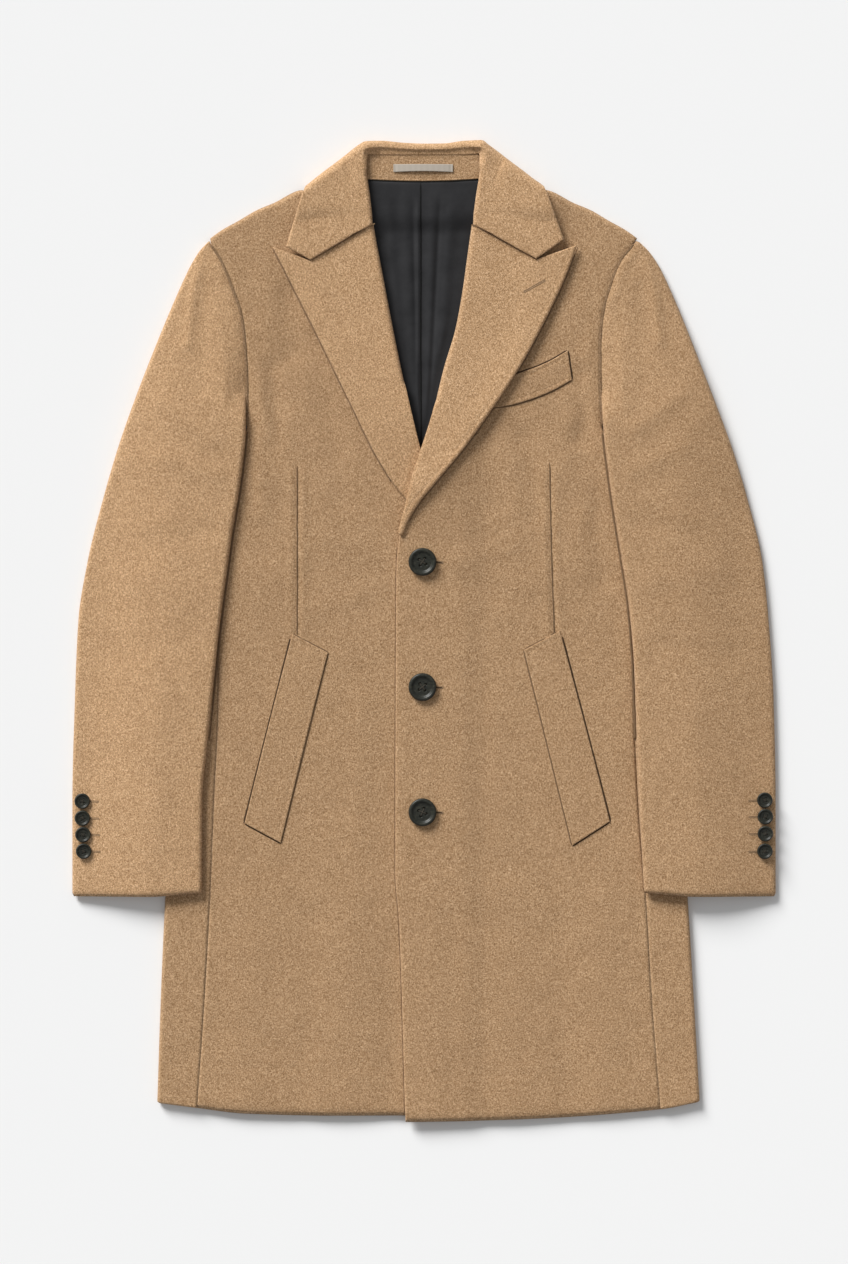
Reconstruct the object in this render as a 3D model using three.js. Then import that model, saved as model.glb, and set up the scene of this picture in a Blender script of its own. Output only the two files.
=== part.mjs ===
import * as THREE from 'three';

// A wool overcoat laid flat on its back, front up, buttoned. Millimetres, +Z up, +Y towards the collar.
// Plan places are given as x (from the centre line, + is the wearer's left) and
// down (from the top of the collar). Every ply is a thin wall with its own height above the floor.

// Driving sizes
const COAT_TOP = 490.5;
const WALL = 3.0;
const BODY_HEIGHT = 8.0;
const SEAM_GAP = 0.3;
const SHOULDER_GAP = 0.55;
const CLEAR = 0.6;
const TURNED_PLY = 2.6;
const COLLAR_PLY = 3.2;
const LINING_PLY = 1.0;
const WELT_PLY = 2.2;
const FALL_ROOM = 3.9;
const LAPEL_LOFT = 3.4;
const SHOULDER_TIP = 98;
const SHOULDER_HALF = 214;
const UNDERARM = 288;
const SIDE_TOP = 334;
const FRONT_BUTTON_DIAMETER = 28;
const CUFF_BUTTON_DIAMETER = 15.6;
const FRONT_BUTTON_DOWNS = [422, 547, 672];
const FRONT_BUTTON_X = -1.5;
const CUFF_BUTTON_FIRST = 661;
const CUFF_BUTTON_PITCH = 16.7;

// Colours
const MELTON = { color: 0xb5946c, roughness: 0.95, metalness: 0 };
const SATIN = { color: 0x2b2b2e, roughness: 0.5, metalness: 0 };
const RIBBON = { color: 0xaea499, roughness: 0.7, metalness: 0 };
const HORN = { color: 0x2a2a24, roughness: 0.35, metalness: 0 };

// Small numeric helpers
const lerp = (a, b, t) => a + (b - a) * t;
const clamp = (t) => Math.min(1, Math.max(0, t));

function rise(from, to, value) {
  const t = clamp((value - from) / (to - from));
  return t * t * (3 - 2 * t);
}

// Height of a rounded edge: 0 at the edge, 1 once a full radius in.
const rounded = (t) => Math.sqrt(1 - (1 - clamp(t)) ** 2);

// A table with named columns. Each column after the first becomes a smooth function of the first.
function table(names, rows) {
  const key = rows.map((row) => row[0]);
  const columns = {};
  names.slice(1).forEach((name, index) => {
    columns[name] = smoothCurve(key, rows.map((row) => row[index + 1]));
  });
  return columns;
}

// Monotone cubic through the points, held level past both ends.
function smoothCurve(keys, values) {
  const last = keys.length - 1;
  const slope = [];
  for (let i = 0; i < last; i += 1) {
    slope.push((values[i + 1] - values[i]) / (keys[i + 1] - keys[i]));
  }
  const tangent = values.map((value, i) => {
    if (i === 0) return slope[0];
    if (i === last) return slope[last - 1];
    if (slope[i - 1] * slope[i] <= 0) return 0;
    return (2 * slope[i - 1] * slope[i]) / (slope[i - 1] + slope[i]);
  });
  return (at) => {
    if (at <= keys[0]) return values[0];
    if (at >= keys[last]) return values[last];
    let i = 0;
    while (keys[i + 1] < at) i += 1;
    const span = keys[i + 1] - keys[i];
    const t = (at - keys[i]) / span;
    const t2 = t * t;
    const t3 = t2 * t;
    return (2 * t3 - 3 * t2 + 1) * values[i] + (t3 - 2 * t2 + t) * span * tangent[i]
      + (3 * t2 - 2 * t3) * values[i + 1] + (t3 - t2) * span * tangent[i + 1];
  };
}

const place = (x, down, z) => new THREE.Vector3(x, COAT_TOP - down, z);

// Outlines, as distances from the centre line. Left and right are the wearer's.
const ARM_LINE = table(['down', 'right', 'left'], [
  [98, 214, 213.5],
  [104, 213, 209],
  [120, 203, 196.5],
  [147, 192, 185.5],
  [175, 182.5, 178],
  [205, 179, 175.5],
  [245, 177, 176],
  [288, 177, 178],
  [325, 180.5, 182.5],
  [358, 185, 187],
  [393, 191, 192.5],
  [420, 194.5, 197],
  [467, 201, 204],
  [530, 208, 209],
  [609, 216, 212],
  [658, 220.5, 213.8],
  [755, 221, 219],
]);
const SLEEVE_OUTER = table(['down', 'right', 'left'], [
  [101, 217.4, 217],
  [108, 224, 224],
  [120, 231, 232],
  [134, 238, 239.5],
  [170, 254, 255.5],
  [214, 272, 273],
  [262, 290.5, 291.5],
  [308, 306.5, 308.5],
  [356, 320.5, 323],
  [420, 336.5, 338.5],
  [480, 346, 345],
  [560, 349.5, 350],
  [660, 352, 352],
  [756, 352, 352],
]);
// Where the fronts end at the side: the armhole's hidden lower part, then the side seam.
const SIDE_SEAM = table(['down', 'right', 'left'], [
  [288, 177, 178],
  [302, 184, 185],
  [318, 198, 199],
  [334, 211, 213],
  [360, 209.5, 212],
  [460, 206.5, 209.5],
  [560, 206, 210],
  [660, 210, 214],
  [760, 214, 222],
  [860, 219.5, 228],
  [968, 227, 236.5],
]);
const BODY_EDGE = table(['down', 'right', 'left'], [
  [334, 236, 240],
  [360, 234, 238],
  [460, 238, 243],
  [560, 246, 250],
  [660, 252, 257],
  [760, 259, 264],
  [860, 263.5, 270],
  [966, 267, 276],
]);
// The roll lines of the lapels, running on as the front edges. x, not a distance.
const FRONT_EDGE = table(['down', 'right', 'left'], [
  [12, -58.5, 56],
  [37, -57, 55],
  [60, -53.2, 51.4],
  [84, -50.4, 47.8],
  [125, -43, 42],
  [145, -39.2, 39.3],
  [188, -31, 31.5],
  [227, -23, 20],
  [276, -12, 7.8],
  [310, -3.5, -3],
  [342, 6, -13],
  [360, 11.5, -17.3],
  [401, 24, -26],
  [430, 28, -27.6],
  [738, 28, -28.6],
  [781, 28, -24.8],
  [982, 28, -18.5],
]);
const SHOULDER = table(['half', 'down'], [
  [54, 15],
  [72, 21],
  [84, 30],
  [100, 40],
  [108, 47],
  [118, 57],
  [126, 56.5],
  [145, 60],
  [168, 70],
  [185, 80],
  [203, 90],
  [214, 98],
]);
const HEM = table(['x', 'right', 'left'], [
  [-267, 963, 982],
  [-229, 968, 982],
  [-178, 974, 982],
  [-90, 976, 982],
  [-18, 976, 982],
  [28, 976, 981.5],
  [113, 976, 979],
  [237, 976, 969.5],
  [276, 976, 962],
]);

// Soft folds of the fronts: a ridge from one point to another with a half width and a height.
const FOLDS = [
  { x: -172, down: 190, toX: -140, toDown: 330, width: 22, height: 1.0 },
  { x: -196, down: 420, toX: -120, toDown: 470, width: 26, height: 0.8 },
  { x: -80, down: 330, toX: -150, toDown: 440, width: 24, height: 0.7 },
  { x: -70, down: 760, toX: -84, toDown: 960, width: 26, height: 0.9 },
  { x: -170, down: 760, toX: -184, toDown: 960, width: 22, height: 0.8 },
  { x: 168, down: 180, toX: 140, toDown: 330, width: 22, height: 1.0 },
  { x: 190, down: 400, toX: 110, toDown: 450, width: 26, height: 0.8 },
  { x: 76, down: 330, toX: 150, toDown: 430, width: 24, height: 0.7 },
  { x: 76, down: 760, toX: 92, toDown: 960, width: 28, height: 0.9 },
  { x: 176, down: 760, toX: 190, toDown: 955, width: 22, height: 0.8 },
];

function foldHeight(x, down) {
  let height = 0;
  for (const fold of FOLDS) {
    const spanX = fold.toX - fold.x;
    const spanDown = fold.toDown - fold.down;
    const length2 = spanX ** 2 + spanDown ** 2;
    const t = clamp(((x - fold.x) * spanX + (down - fold.down) * spanDown) / length2);
    const gapX = x - fold.x - t * spanX;
    const gapDown = down - fold.down - t * spanDown;
    height += fold.height * Math.exp(-(gapX ** 2 + gapDown ** 2) / fold.width ** 2);
  }
  return height;
}

// Closed wall between an outer and an inner grid of points.
function closedWall(outer, inner) {
  const rows = outer.length;
  const columns = outer[0].length;
  const points = [...outer.flat(), ...inner.flat()];
  const triangles = [];
  const top = (i, j) => i * columns + j;
  const under = (i, j) => rows * columns + i * columns + j;
  const quad = (a, b, c, d) => triangles.push([a, b, c], [a, c, d]);
  for (let i = 0; i < rows - 1; i += 1) {
    for (let j = 0; j < columns - 1; j += 1) {
      quad(top(i, j), top(i, j + 1), top(i + 1, j + 1), top(i + 1, j));
      quad(under(i, j), under(i + 1, j), under(i + 1, j + 1), under(i, j + 1));
    }
    quad(top(i, 0), top(i + 1, 0), under(i + 1, 0), under(i, 0));
    quad(top(i + 1, columns - 1), top(i, columns - 1), under(i, columns - 1), under(i + 1, columns - 1));
  }
  for (let j = 0; j < columns - 1; j += 1) {
    quad(top(0, j + 1), top(0, j), under(0, j), under(0, j + 1));
    quad(top(rows - 1, j), top(rows - 1, j + 1), under(rows - 1, j + 1), under(rows - 1, j));
  }
  let volume = 0;
  for (const [a, b, c] of triangles) {
    volume += points[a].dot(new THREE.Vector3().crossVectors(points[b], points[c]));
  }
  const index = triangles.flatMap(([a, b, c]) => (volume > 0 ? [a, b, c] : [a, c, b]));
  const geometry = new THREE.BufferGeometry();
  const position = points.flatMap((point) => [point.x, point.y, point.z]);
  geometry.setAttribute('position', new THREE.Float32BufferAttribute(position, 3));
  geometry.setIndex(index);
  geometry.computeVertexNormals();
  return geometry;
}

// Direction along a line of points at one of them, from neighbours at least a millimetre off.
function direction(line, at) {
  const reach = 1.0;
  let before = at;
  let after = at;
  while (before > 0 && line[before].distanceTo(line[at]) < reach) before -= 1;
  while (after < line.length - 1 && line[after].distanceTo(line[at]) < reach) after += 1;
  return new THREE.Vector3().subVectors(line[after], line[before]).normalize();
}

// A ply of even thickness inside a grid of its outer points. side is 1 or -1: which way the inside lies.
// trim may move an inner point that has to stay on its own side of a seam.
function ply(outer, thickness, side, trim = (point) => point) {
  const inner = outer.map((row, i) => row.map((point, j) => {
    const along = direction(row, j);
    const down = direction(outer.map((line) => line[j]), i);
    const normal = new THREE.Vector3().crossVectors(along, down).normalize();
    const amount = typeof thickness === 'function' ? thickness(i, j) : thickness;
    return trim(point.clone().addScaledVector(normal, -side * amount), i, j);
  }));
  return closedWall(outer, inner);
}

// A flat ply on a panel: its top from a height function, its underside straight below.
function laidPly(outline, height, thickness, across, along) {
  const outer = [];
  for (let i = 0; i <= along; i += 1) {
    const row = [];
    for (let j = 0; j <= across; j += 1) {
      const [x, down] = outline(j / across, i / along);
      row.push(place(x, down, height(x, down, j / across, i / along)));
    }
    outer.push(row);
  }
  const inner = outer.map((row) => row.map((point) => new THREE.Vector3(point.x, point.y, point.z - thickness)));
  return closedWall(outer, inner);
}

// Room that the collar's fall takes under the body, and how much it lifts the body there.
function collarLift(x, down) {
  return FALL_ROOM * rise(94, 66, down) * rise(152, 122, Math.abs(x));
}

// Rise of a front towards its roll line, where the facing turns back under it.
function rollRise(side, x, down) {
  const gap = Math.abs(x - FRONT_EDGE[side](down));
  const fade = side === 'left' ? rise(420, 330, down) : rise(330, 270, down);
  const most = lerp(1.2, 3.0, rise(62, 92, down));
  return most * fade * rise(62, 10, gap);
}

// Top of a front ply above the floor, before its shoulder edge is rounded.
function frontHeight(side, x, down) {
  const base = BODY_HEIGHT + collarLift(x, down);
  if (side === 'right') {
    return base + rollRise(side, x, down) - 0.5 * rise(-75, -40, x) * rise(300, 340, down);
  }
  const lap = 3.0 * rise(64, 34, x) * rise(280, 330, down);
  const overLapel = 4.6 * Math.exp(-(((x + 2) / 36) ** 2) - ((down - 333) / 52) ** 2);
  return base + Math.max(lap, rollRise(side, x, down)) + overLapel;
}

// Soft folds fade out under the sleeve, at the seams and at the front edge.
function frontRelief(side, x, down) {
  const sign = side === 'left' ? 1 : -1;
  const wide = sign * x;
  const outerLimit = Math.min(ARM_LINE[side](down), SIDE_SEAM[side](down));
  const fade = rise(outerLimit - 4, outerLimit - 26, wide) * rise(30, 60, Math.abs(x - FRONT_EDGE[side](down)));
  return foldHeight(x, down) * fade;
}

const frontTop = (side, x, down) => frontHeight(side, x, down) + frontRelief(side, x, down);

// Front panel: from the armhole and side seam to the roll line and front edge.
function sideLine(side, down) {
  return down < UNDERARM ? ARM_LINE[side](Math.max(down, SHOULDER_TIP)) : SIDE_SEAM[side](down);
}

function frontInset(side, down) {
  const fadeFrom = side === 'left' ? 288 : 258;
  return lerp(5.4, 0.9, rise(fadeFrom, fadeFrom + 34, down)) * rise(425, 400, down);
}

function frontPanel(side) {
  const sign = side === 'left' ? 1 : -1;
  const acrossSteps = [0, 0.014, 0.08, 0.19, 0.31, 0.43, 0.55, 0.67, 0.78, 0.87, 0.94, 0.98, 1];
  const topSteps = [0, 0.4, 1.4, 3.2, 6];
  const rowDowns = [20, 40, 60, 80, 102, 128, 156, 190, 226, 252, 272, 290, 304, 318, 334, 352, 374, 400,
    430, 480, 550, 630, 720, 830];
  const roundRadius = 4.2;
  const halfHeight = 4.0;
  const edgeAt = (down) => FRONT_EDGE[side](down) - (side === 'left' ? -1 : 1) * frontInset(side, down);
  const pointAt = (u, down) => lerp(sign * sideLine(side, down), edgeAt(down), u);
  const columns = acrossSteps.map((u) => {
    const topX = lerp(SHOULDER_HALF, Math.abs(edgeAt(12)), u);
    const topDown = SHOULDER.down(topX);
    const hemDown = HEM[side](pointAt(u, 970));
    const downs = topSteps.map((step) => topDown + step);
    const spanTop = 12;
    for (const row of rowDowns) {
      const t = (row - spanTop) / (976 - spanTop);
      downs.push(lerp(topDown + 6, hemDown, t));
    }
    downs.push(hemDown);
    return downs.map((down) => {
      const x = pointAt(u, down);
      const full = frontTop(side, x, down);
      const middle = collarLift(x, down) + halfHeight + SHOULDER_GAP;
      const shoulder = rounded((down - topDown) * 0.88 / roundRadius);
      const seam = 0.6 * Math.exp(-(((Math.abs(x) - sideLine(side, down)) / 3) ** 2)) * rise(690, 640, down);
      return place(x, down, lerp(middle, full, shoulder) - seam);
    });
  });
  const trim = (point) => {
    const limit = halfHeight + SHOULDER_GAP + collarLift(point.x, COAT_TOP - point.y);
    point.setZ(Math.max(point.z, limit));
    return point;
  };
  return ply(columns, WALL, side === 'left' ? -1 : 1, trim);
}

// Back panel: flat on the floor, raised over the collar's fall, turned up at the shoulders.
const BACK_SIDE = table(['down', 'right', 'left'], [
  [288, 177, 178],
  [302, 184, 185],
  [318, 196, 197],
  [334, 200, 204],
  [460, 206, 211],
  [560, 211.5, 217],
  [760, 222.5, 229.5],
  [966, 233, 242],
]);

function backSide(side, down) {
  return down < UNDERARM ? ARM_LINE[side](Math.max(down, SHOULDER_TIP)) : BACK_SIDE[side](down);
}

function backPanel() {
  const steps = [0, 0.05, 0.13, 0.2, 0.27, 0.33, 0.37, 0.44, 0.5, 0.56, 0.63, 0.67, 0.73, 0.8, 0.87, 0.95, 1];
  const topSteps = [0, 0.4, 1.4, 3.2, 6];
  const rowDowns = [24, 40, 52, 60, 68, 78, 92, 120, 160, 205, 245, 288, 302, 318, 334, 460, 560, 760];
  const roundRadius = 4.2;
  const halfHeight = 4.0;
  const hemShort = 2;
  const columns = steps.map((u) => {
    const pointAt = (down) => lerp(-backSide('right', down), backSide('left', down), u);
    const topDown = SHOULDER.down(Math.abs(lerp(-SHOULDER_HALF, SHOULDER_HALF, u)));
    const hemX = pointAt(966);
    const hemDown = (hemX < 0 ? HEM.right(hemX) : HEM.left(hemX) - 3 * rise(200, 100, hemX)) - hemShort;
    const downs = topSteps.map((step) => topDown + step);
    for (const row of rowDowns) downs.push(lerp(topDown + 6, hemDown, (row - 12) / (974 - 12)));
    downs.push(hemDown);
    return downs.map((down) => {
      const x = pointAt(down);
      const neck = rise(70, 60, Math.abs(x));
      const shoulder = Math.max(neck, rounded((down - topDown) * 0.88 / roundRadius));
      const middle = halfHeight - SHOULDER_GAP;
      return place(x, down, collarLift(x, down) + lerp(middle, 0, shoulder));
    });
  });
  const trim = (point) => {
    const limit = halfHeight - SHOULDER_GAP + collarLift(point.x, COAT_TOP - point.y);
    point.setZ(Math.min(point.z, limit));
    return point;
  };
  return ply(columns, WALL, -1, trim);
}

// Side panel: from the front side seam round the folded edge to the back seam.
function sidePanel(side) {
  const sign = side === 'left' ? 1 : -1;
  const radius = BODY_HEIGHT / 2;
  const rowCount = 10;
  const hemDown = HEM[side](sign * SIDE_SEAM[side](COAT_TOP * 2));
  const rows = [];
  for (let i = 0; i <= rowCount; i += 1) {
    const down = lerp(SIDE_TOP + 1, hemDown, i / rowCount);
    const seam = SIDE_SEAM[side](down) + SEAM_GAP;
    const back = BACK_SIDE[side](down) + 2 * SEAM_GAP;
    const edge = BODY_EDGE[side](down);
    const at = (wide, z) => place(sign * wide, Math.min(down, HEM[side](sign * wide)), z);
    const row = [at(seam, BODY_HEIGHT - 0.4)];
    for (const t of [0.15, 0.45, 0.75]) row.push(at(lerp(seam, edge - radius, t), BODY_HEIGHT));
    for (let k = 0; k <= 6; k += 1) {
      const angle = (Math.PI * k) / 6;
      row.push(at(edge - radius + radius * Math.sin(angle), radius + radius * Math.cos(angle)));
    }
    row.push(at(lerp(edge - radius, back, 0.5), 0), at(back, 0));
    rows.push(row);
  }
  return ply(rows, WALL, side === 'left' ? -1 : 1);
}

// Sleeves: an upper and an under ply that meet at the folds. The inner part lies on the body's side.
const SLEEVE_GAP = 1.4;
const HEAD_SLANT = 2;
const SLEEVE_DOWNS = [101, 106, 113, 122, 134, 152, 178, 208, 236, 252, 266, 280, 300, 330, 375, 425, 490, 570, 660,
  756];

function sleeveLow(side, wide, down) {
  const edge = BODY_EDGE[side](down);
  return (BODY_HEIGHT + 0.9) * rise(248, 284, down) * rise(edge + 56, edge + 12, wide);
}

function sleeveDepth(side, wide, down) {
  const inner = ARM_LINE[side](down);
  const outer = SLEEVE_OUTER[side](down);
  const t = clamp((wide - inner) / (outer - inner));
  const puff = 1.9 * Math.sin(Math.PI * clamp(t * 1.02)) ** 0.6;
  const head = 0.6 * rise(190, 120, down) * rise(1, 0.6, t);
  return 2 * WALL + SLEEVE_GAP + puff * rise(101, 150, down) + head;
}

function sleevePly(side, part) {
  const sign = side === 'left' ? 1 : -1;
  const upper = part === 'top';
  const armGap = upper ? 0.95 : 1.1;
  const quarter = [0, 0.134, 0.5, 1];
  const middle = upper ? [0.12, 0.26, 0.42, 0.58, 0.74, 0.88] : [0.16, 0.38, 0.62, 0.84];
  const rows = SLEEVE_DOWNS.map((down, index) => {
    const inner = ARM_LINE[side](down) + armGap;
    const outer = SLEEVE_OUTER[side](down);
    const width = outer - inner;
    const radius = Math.min(3.9, width * 0.42);
    const wides = quarter.map((t) => inner + radius * t);
    for (const t of middle) wides.push(lerp(inner + radius, outer - radius, t));
    for (const t of [...quarter].reverse()) wides.push(outer - radius * t);
    const folded = rise(240, 290, down);
    return wides.map((wide) => {
      const low = sleeveLow(side, wide, down);
      const high = low + sleeveDepth(side, wide, down);
      const half = (low + high) / 2;
      const face = upper ? high : low;
      const meet = upper ? half + 0.15 : half - 0.15;
      const seam = upper ? high - 0.8 : low;
      const innerEnd = lerp(seam, meet, folded);
      const outerEnd = meet;
      const atInner = lerp(innerEnd, face, rounded((wide - inner) / radius));
      const z = lerp(outerEnd, atInner, rounded((outer - wide) / radius));
      const across = (wide - inner) / width;
      const slant = HEAD_SLANT * rise(130, 101, down) * across;
      const cuff = index === SLEEVE_DOWNS.length - 1 ? lerp(-3, 0.5, rise(0, 0.4, across)) : 0;
      return place(sign * wide, down + slant + cuff, z);
    });
  });
  const thickness = (i) => {
    const down = SLEEVE_DOWNS[i];
    return Math.min(WALL, 0.16 * (SLEEVE_OUTER[side](down) - ARM_LINE[side](down)));
  };
  const turn = (side === 'left' ? -1 : 1) * (upper ? 1 : -1);
  const trim = (point, i) => {
    const wide = Math.abs(point.x);
    const down = COAT_TOP - point.y;
    const half = sleeveLow(side, wide, down) + sleeveDepth(side, wide, down) / 2;
    const nearest = Math.max(wide, ARM_LINE[side](SLEEVE_DOWNS[i]) + armGap);
    const z = upper ? Math.max(point.z, half + 0.15) : Math.min(point.z, half - 0.15);
    const keep = Math.abs(rows[i][0].z - half) < 1 || Math.abs(nearest - wide) < 0.01;
    point.set(sign * nearest, point.y, keep || wide > nearest ? z : point.z);
    return point;
  };
  return ply(rows, thickness, turn, trim);
}

// Lapels: the facing turned back on the front, its roll bent round the front's edge.
const LAPEL = {
  right: {
    rows: [
      // edge x, edge down, roll down
      [-151, 107, 84],
      [-137.5, 133.5, 121],
      [-112, 184, 172],
      [-91, 227, 217],
      [-70, 270, 262],
      [-50, 311, 306],
      [-32, 341, 338],
      [-17.3, 360, 357],
    ],
    notch: 0.374,
    dip: 22.2,
    returnFade: [226, 252],
  },
  left: {
    rows: [
      [153.2, 104.8, 84],
      [141, 137.5, 121],
      [116.8, 188.4, 176],
      [92.6, 232, 222],
      [68.4, 268.4, 260],
      [40, 308, 301],
      [12, 342, 337],
      [-5, 363, 359.5],
      [-16, 381, 378.5],
      [-21.2, 395, 394],
    ],
    notch: 0.391,
    dip: 22.7,
    returnFade: [246, 272],
  },
};

function lapelLoft(side, x, down) {
  const gap = Math.abs(x - FRONT_EDGE[side](down));
  return LAPEL_LOFT * rise(14, 74, gap) * rise(400, 330, down);
}

function turnedTop(side, x, down) {
  const extra = side === 'left' ? 0.6 : 0.3 * rise(350, 320, down);
  const clear = CLEAR + extra * rise(230, 290, down);
  return frontTop(side, x, down) + clear + TURNED_PLY + lapelLoft(side, x, down);
}

function lapel(side) {
  const shape = LAPEL[side];
  const outward = side === 'left' ? 1 : -1;
  const bendRadius = 4.68;
  const bendSteps = 6;
  const stations = [0, 0.15, 0.45, 0.9, 1.5, 2, 2.6, 3.2, 3.7, 4.2, 4.7, 5.3, 6, 7, 8, 9];
  const keys = shape.rows.map((row, i) => i);
  const edgeX = smoothCurve(keys, shape.rows.map((row) => row[0]));
  const edgeDown = smoothCurve(keys, shape.rows.map((row) => row[1]));
  const rollDown = smoothCurve(keys, shape.rows.map((row) => row[2]));
  const notch = shape.notch;
  const rows = stations.filter((s) => s <= keys.length - 1).map((s) => {
    const from = [edgeX(s), edgeDown(s)];
    const to = [FRONT_EDGE[side](rollDown(s)), rollDown(s)];
    const length = Math.hypot(to[0] - from[0], to[1] - from[1]);
    const way = [(to[0] - from[0]) / length, (to[1] - from[1]) / length];
    const radius = Math.min(bendRadius, length * 0.4);
    const flat = Math.max(length - radius, notch * length + 0.5);
    const keep = rise(shape.returnFade[1], shape.returnFade[0], to[1]);
    const turn = lerp(0.35, Math.PI, keep);
    const dipFade = 1 - clamp(s / 1.2);
    const point = (distance) => {
      const u = distance / length;
      const dip = shape.dip * dipFade * (u < notch ? u / notch : (1 - u) / (1 - notch));
      return [from[0] + way[0] * distance, from[1] + way[1] * distance + dip + 2 * SEAM_GAP];
    };
    const across = [0, 0.02 * length, notch * 0.5 * length, notch * length, lerp(notch * length, flat, 0.35),
      lerp(notch * length, flat, 0.7), flat];
    const line = across.map((distance) => {
      const [x, down] = point(distance);
      const edgeSoft = 0.5 * rise(3, 0, distance);
      return place(x, down, turnedTop(side, x, down) - edgeSoft);
    });
    const [centreX, centreDown] = point(flat);
    const topZ = turnedTop(side, centreX, centreDown);
    for (let k = 1; k <= bendSteps; k += 1) {
      const angle = (turn * k) / bendSteps;
      const reach = flat + radius * Math.sin(angle);
      const [x, down] = point(reach);
      line.push(place(x, down, topZ - bendRadius * (1 - Math.cos(angle))));
    }
    const lastZ = topZ - bendRadius * (1 - Math.cos(turn));
    const back = 0.6 + 10 * rise(shape.returnFade[0] - 6, shape.returnFade[0] - 46, to[1]);
    const endReach = flat + radius * Math.sin(turn);
    const slope = -Math.sin(turn);
    for (const part of [0.5, 1]) {
      const reach = endReach + Math.cos(turn) * back * part;
      const [x, down] = point(reach);
      line.push(place(x, down, lastZ + slope * back * part));
    }
    return line;
  });
  return ply(rows, TURNED_PLY, outward);
}

// Collar: leaves on the fronts, roll round the neck, fall behind it. Each section runs from the seam or
// the roll, up to the ridge of the shoulder, round it and down behind.
const COLLAR_SECTIONS = [
  // from x, from down, ridge x, ridge down, end x, end down, lip
  [-137.6, 107, -119.4, 47, -114, 53, 0],
  [-125.5, 113.8, -114.5, 43, -107, 54.5, 0],
  [-113.4, 120.6, -109, 38.5, -99, 56, 0],
  [-92.4, 108.1, -99, 30.6, -88, 57, 0],
  [-71.4, 95.5, -89, 23.2, -78, 58, 0],
  [-56, 86.4, -81, 17, -69, 58.5, 0.15],
  [-51.8, 74, -76, 13, -63, 59, 1],
  [-53.8, 56, -70.5, 8.6, -57, 59.3, 1],
  [-57.2, 34, -65, 4.6, -51, 59.6, 1],
  [-56, 15.2, -58, 1.2, -45, 59.8, 0.1],
  [-42, 15.2, -42, 0.6, -34, 60, 0],
  [-20, 15.2, -20, 2.6, -17, 60, 0],
  [0, 15.2, 0, 3.4, 0, 60, 0],
  [20, 15.2, 20, 3.2, 17, 60, 0],
  [40, 15.2, 40, 0.6, 34, 60, 0],
  [55, 14.2, 57, 0, 45, 59.8, 0.1],
  [55.4, 34, 64.5, 4.6, 51, 59.6, 1],
  [51.8, 56, 70, 8.6, 57, 59.3, 1],
  [49.4, 74, 76, 13, 63, 59, 1],
  [53.4, 86.8, 81, 17, 69, 58.5, 0.15],
  [69, 95.5, 89, 23.2, 78, 58, 0],
  [90, 107.3, 99, 30.6, 88, 57, 0],
  [112, 119.4, 109, 38.5, 99, 56, 0],
  [125.5, 110, 115.5, 43, 107, 54.5, 0],
  [139.4, 100, 120.6, 47, 114, 53, 0],
];

function collarTop(x, down) {
  const side = x < 0 ? 'right' : 'left';
  const stand = rise(62, 52, Math.abs(x)) * rise(30, 16, down);
  const leaf = frontHeight(side, x, Math.max(down, 58)) + CLEAR + COLLAR_PLY + lapelLoft(side, x, Math.max(down, 84));
  const standTop = lerp(17.2, 10.4, rise(2, 15, down));
  return lerp(Math.max(leaf, 16.7) + 0.2, standTop, stand);
}

function collar() {
  const lipRadius = 4.5;
  const rows = COLLAR_SECTIONS.map((section) => {
    const [fromX, fromDown, ridgeX, ridgeDown, endX, endDown, lip] = section;
    const inward = fromX < 0 ? 1 : -1;
    const topLength = Math.hypot(ridgeX - fromX, ridgeDown - fromDown);
    const topWay = [(ridgeX - fromX) / topLength, (ridgeDown - fromDown) / topLength];
    const backLength = Math.hypot(endX - ridgeX, endDown - ridgeDown);
    const backWay = [(endX - ridgeX) / backLength, (endDown - ridgeDown) / backLength];
    const probeX = fromX + topWay[0] * topLength * 0.8;
    const probeDown = fromDown + topWay[1] * topLength * 0.8;
    const ridgeZ = Math.max(16.4, Math.abs(fromX) > 60 ? collarTop(probeX, probeDown) : 16.8);
    const radius = ridgeZ / 2;
    const line = [];
    const startZ = collarTop(fromX, fromDown);
    const lips = [1.75, 1.15, 0.55];
    lips.forEach((angle, k) => {
      const sideways = inward * lipRadius * (Math.sin(Math.min(angle, 1.57)) - 1) * lip;
      const drop = lipRadius * (1 - Math.cos(angle)) * lip;
      line.push(place(fromX + sideways, fromDown - 0.2 * k * (1 - lip), startZ - drop));
    });
    const startDown = fromDown - 0.6 * (1 - lip);
    const insetX = fromX - inward * lipRadius * lip;
    const flatEnd = Math.max(0.2, 1 - radius / topLength);
    for (const t of [0, 0.2, 0.45, 0.72, 1]) {
      const reach = t * flatEnd;
      const x = lerp(insetX, ridgeX, reach);
      const down = lerp(startDown, ridgeDown, reach);
      const blend = rise(0.55, 1, t);
      line.push(place(x, down, lerp(collarTop(x, down), ridgeZ, blend)));
    }
    const wrapSteps = 7;
    const bendX = lerp(insetX, ridgeX, flatEnd);
    const bendDown = lerp(startDown, ridgeDown, flatEnd);
    const backX = ridgeX + backWay[0] * Math.min(radius, backLength * 0.5);
    const backDown = ridgeDown + backWay[1] * Math.min(radius, backLength * 0.5);
    for (let k = 1; k <= wrapSteps; k += 1) {
      const angle = (Math.PI * k) / wrapSteps;
      const reach = Math.sin(angle);
      const baseX = angle < Math.PI / 2 ? bendX : backX;
      const baseDown = angle < Math.PI / 2 ? bendDown : backDown;
      line.push(place(lerp(baseX, ridgeX, reach), lerp(baseDown, ridgeDown, reach), radius + radius * Math.cos(angle)));
    }
    line.push(place(lerp(backX, endX, 0.5), lerp(backDown, endDown, 0.5), 0), place(endX, endDown, 0));
    return line;
  });
  return ply(rows, COLLAR_PLY, -1);
}

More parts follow.
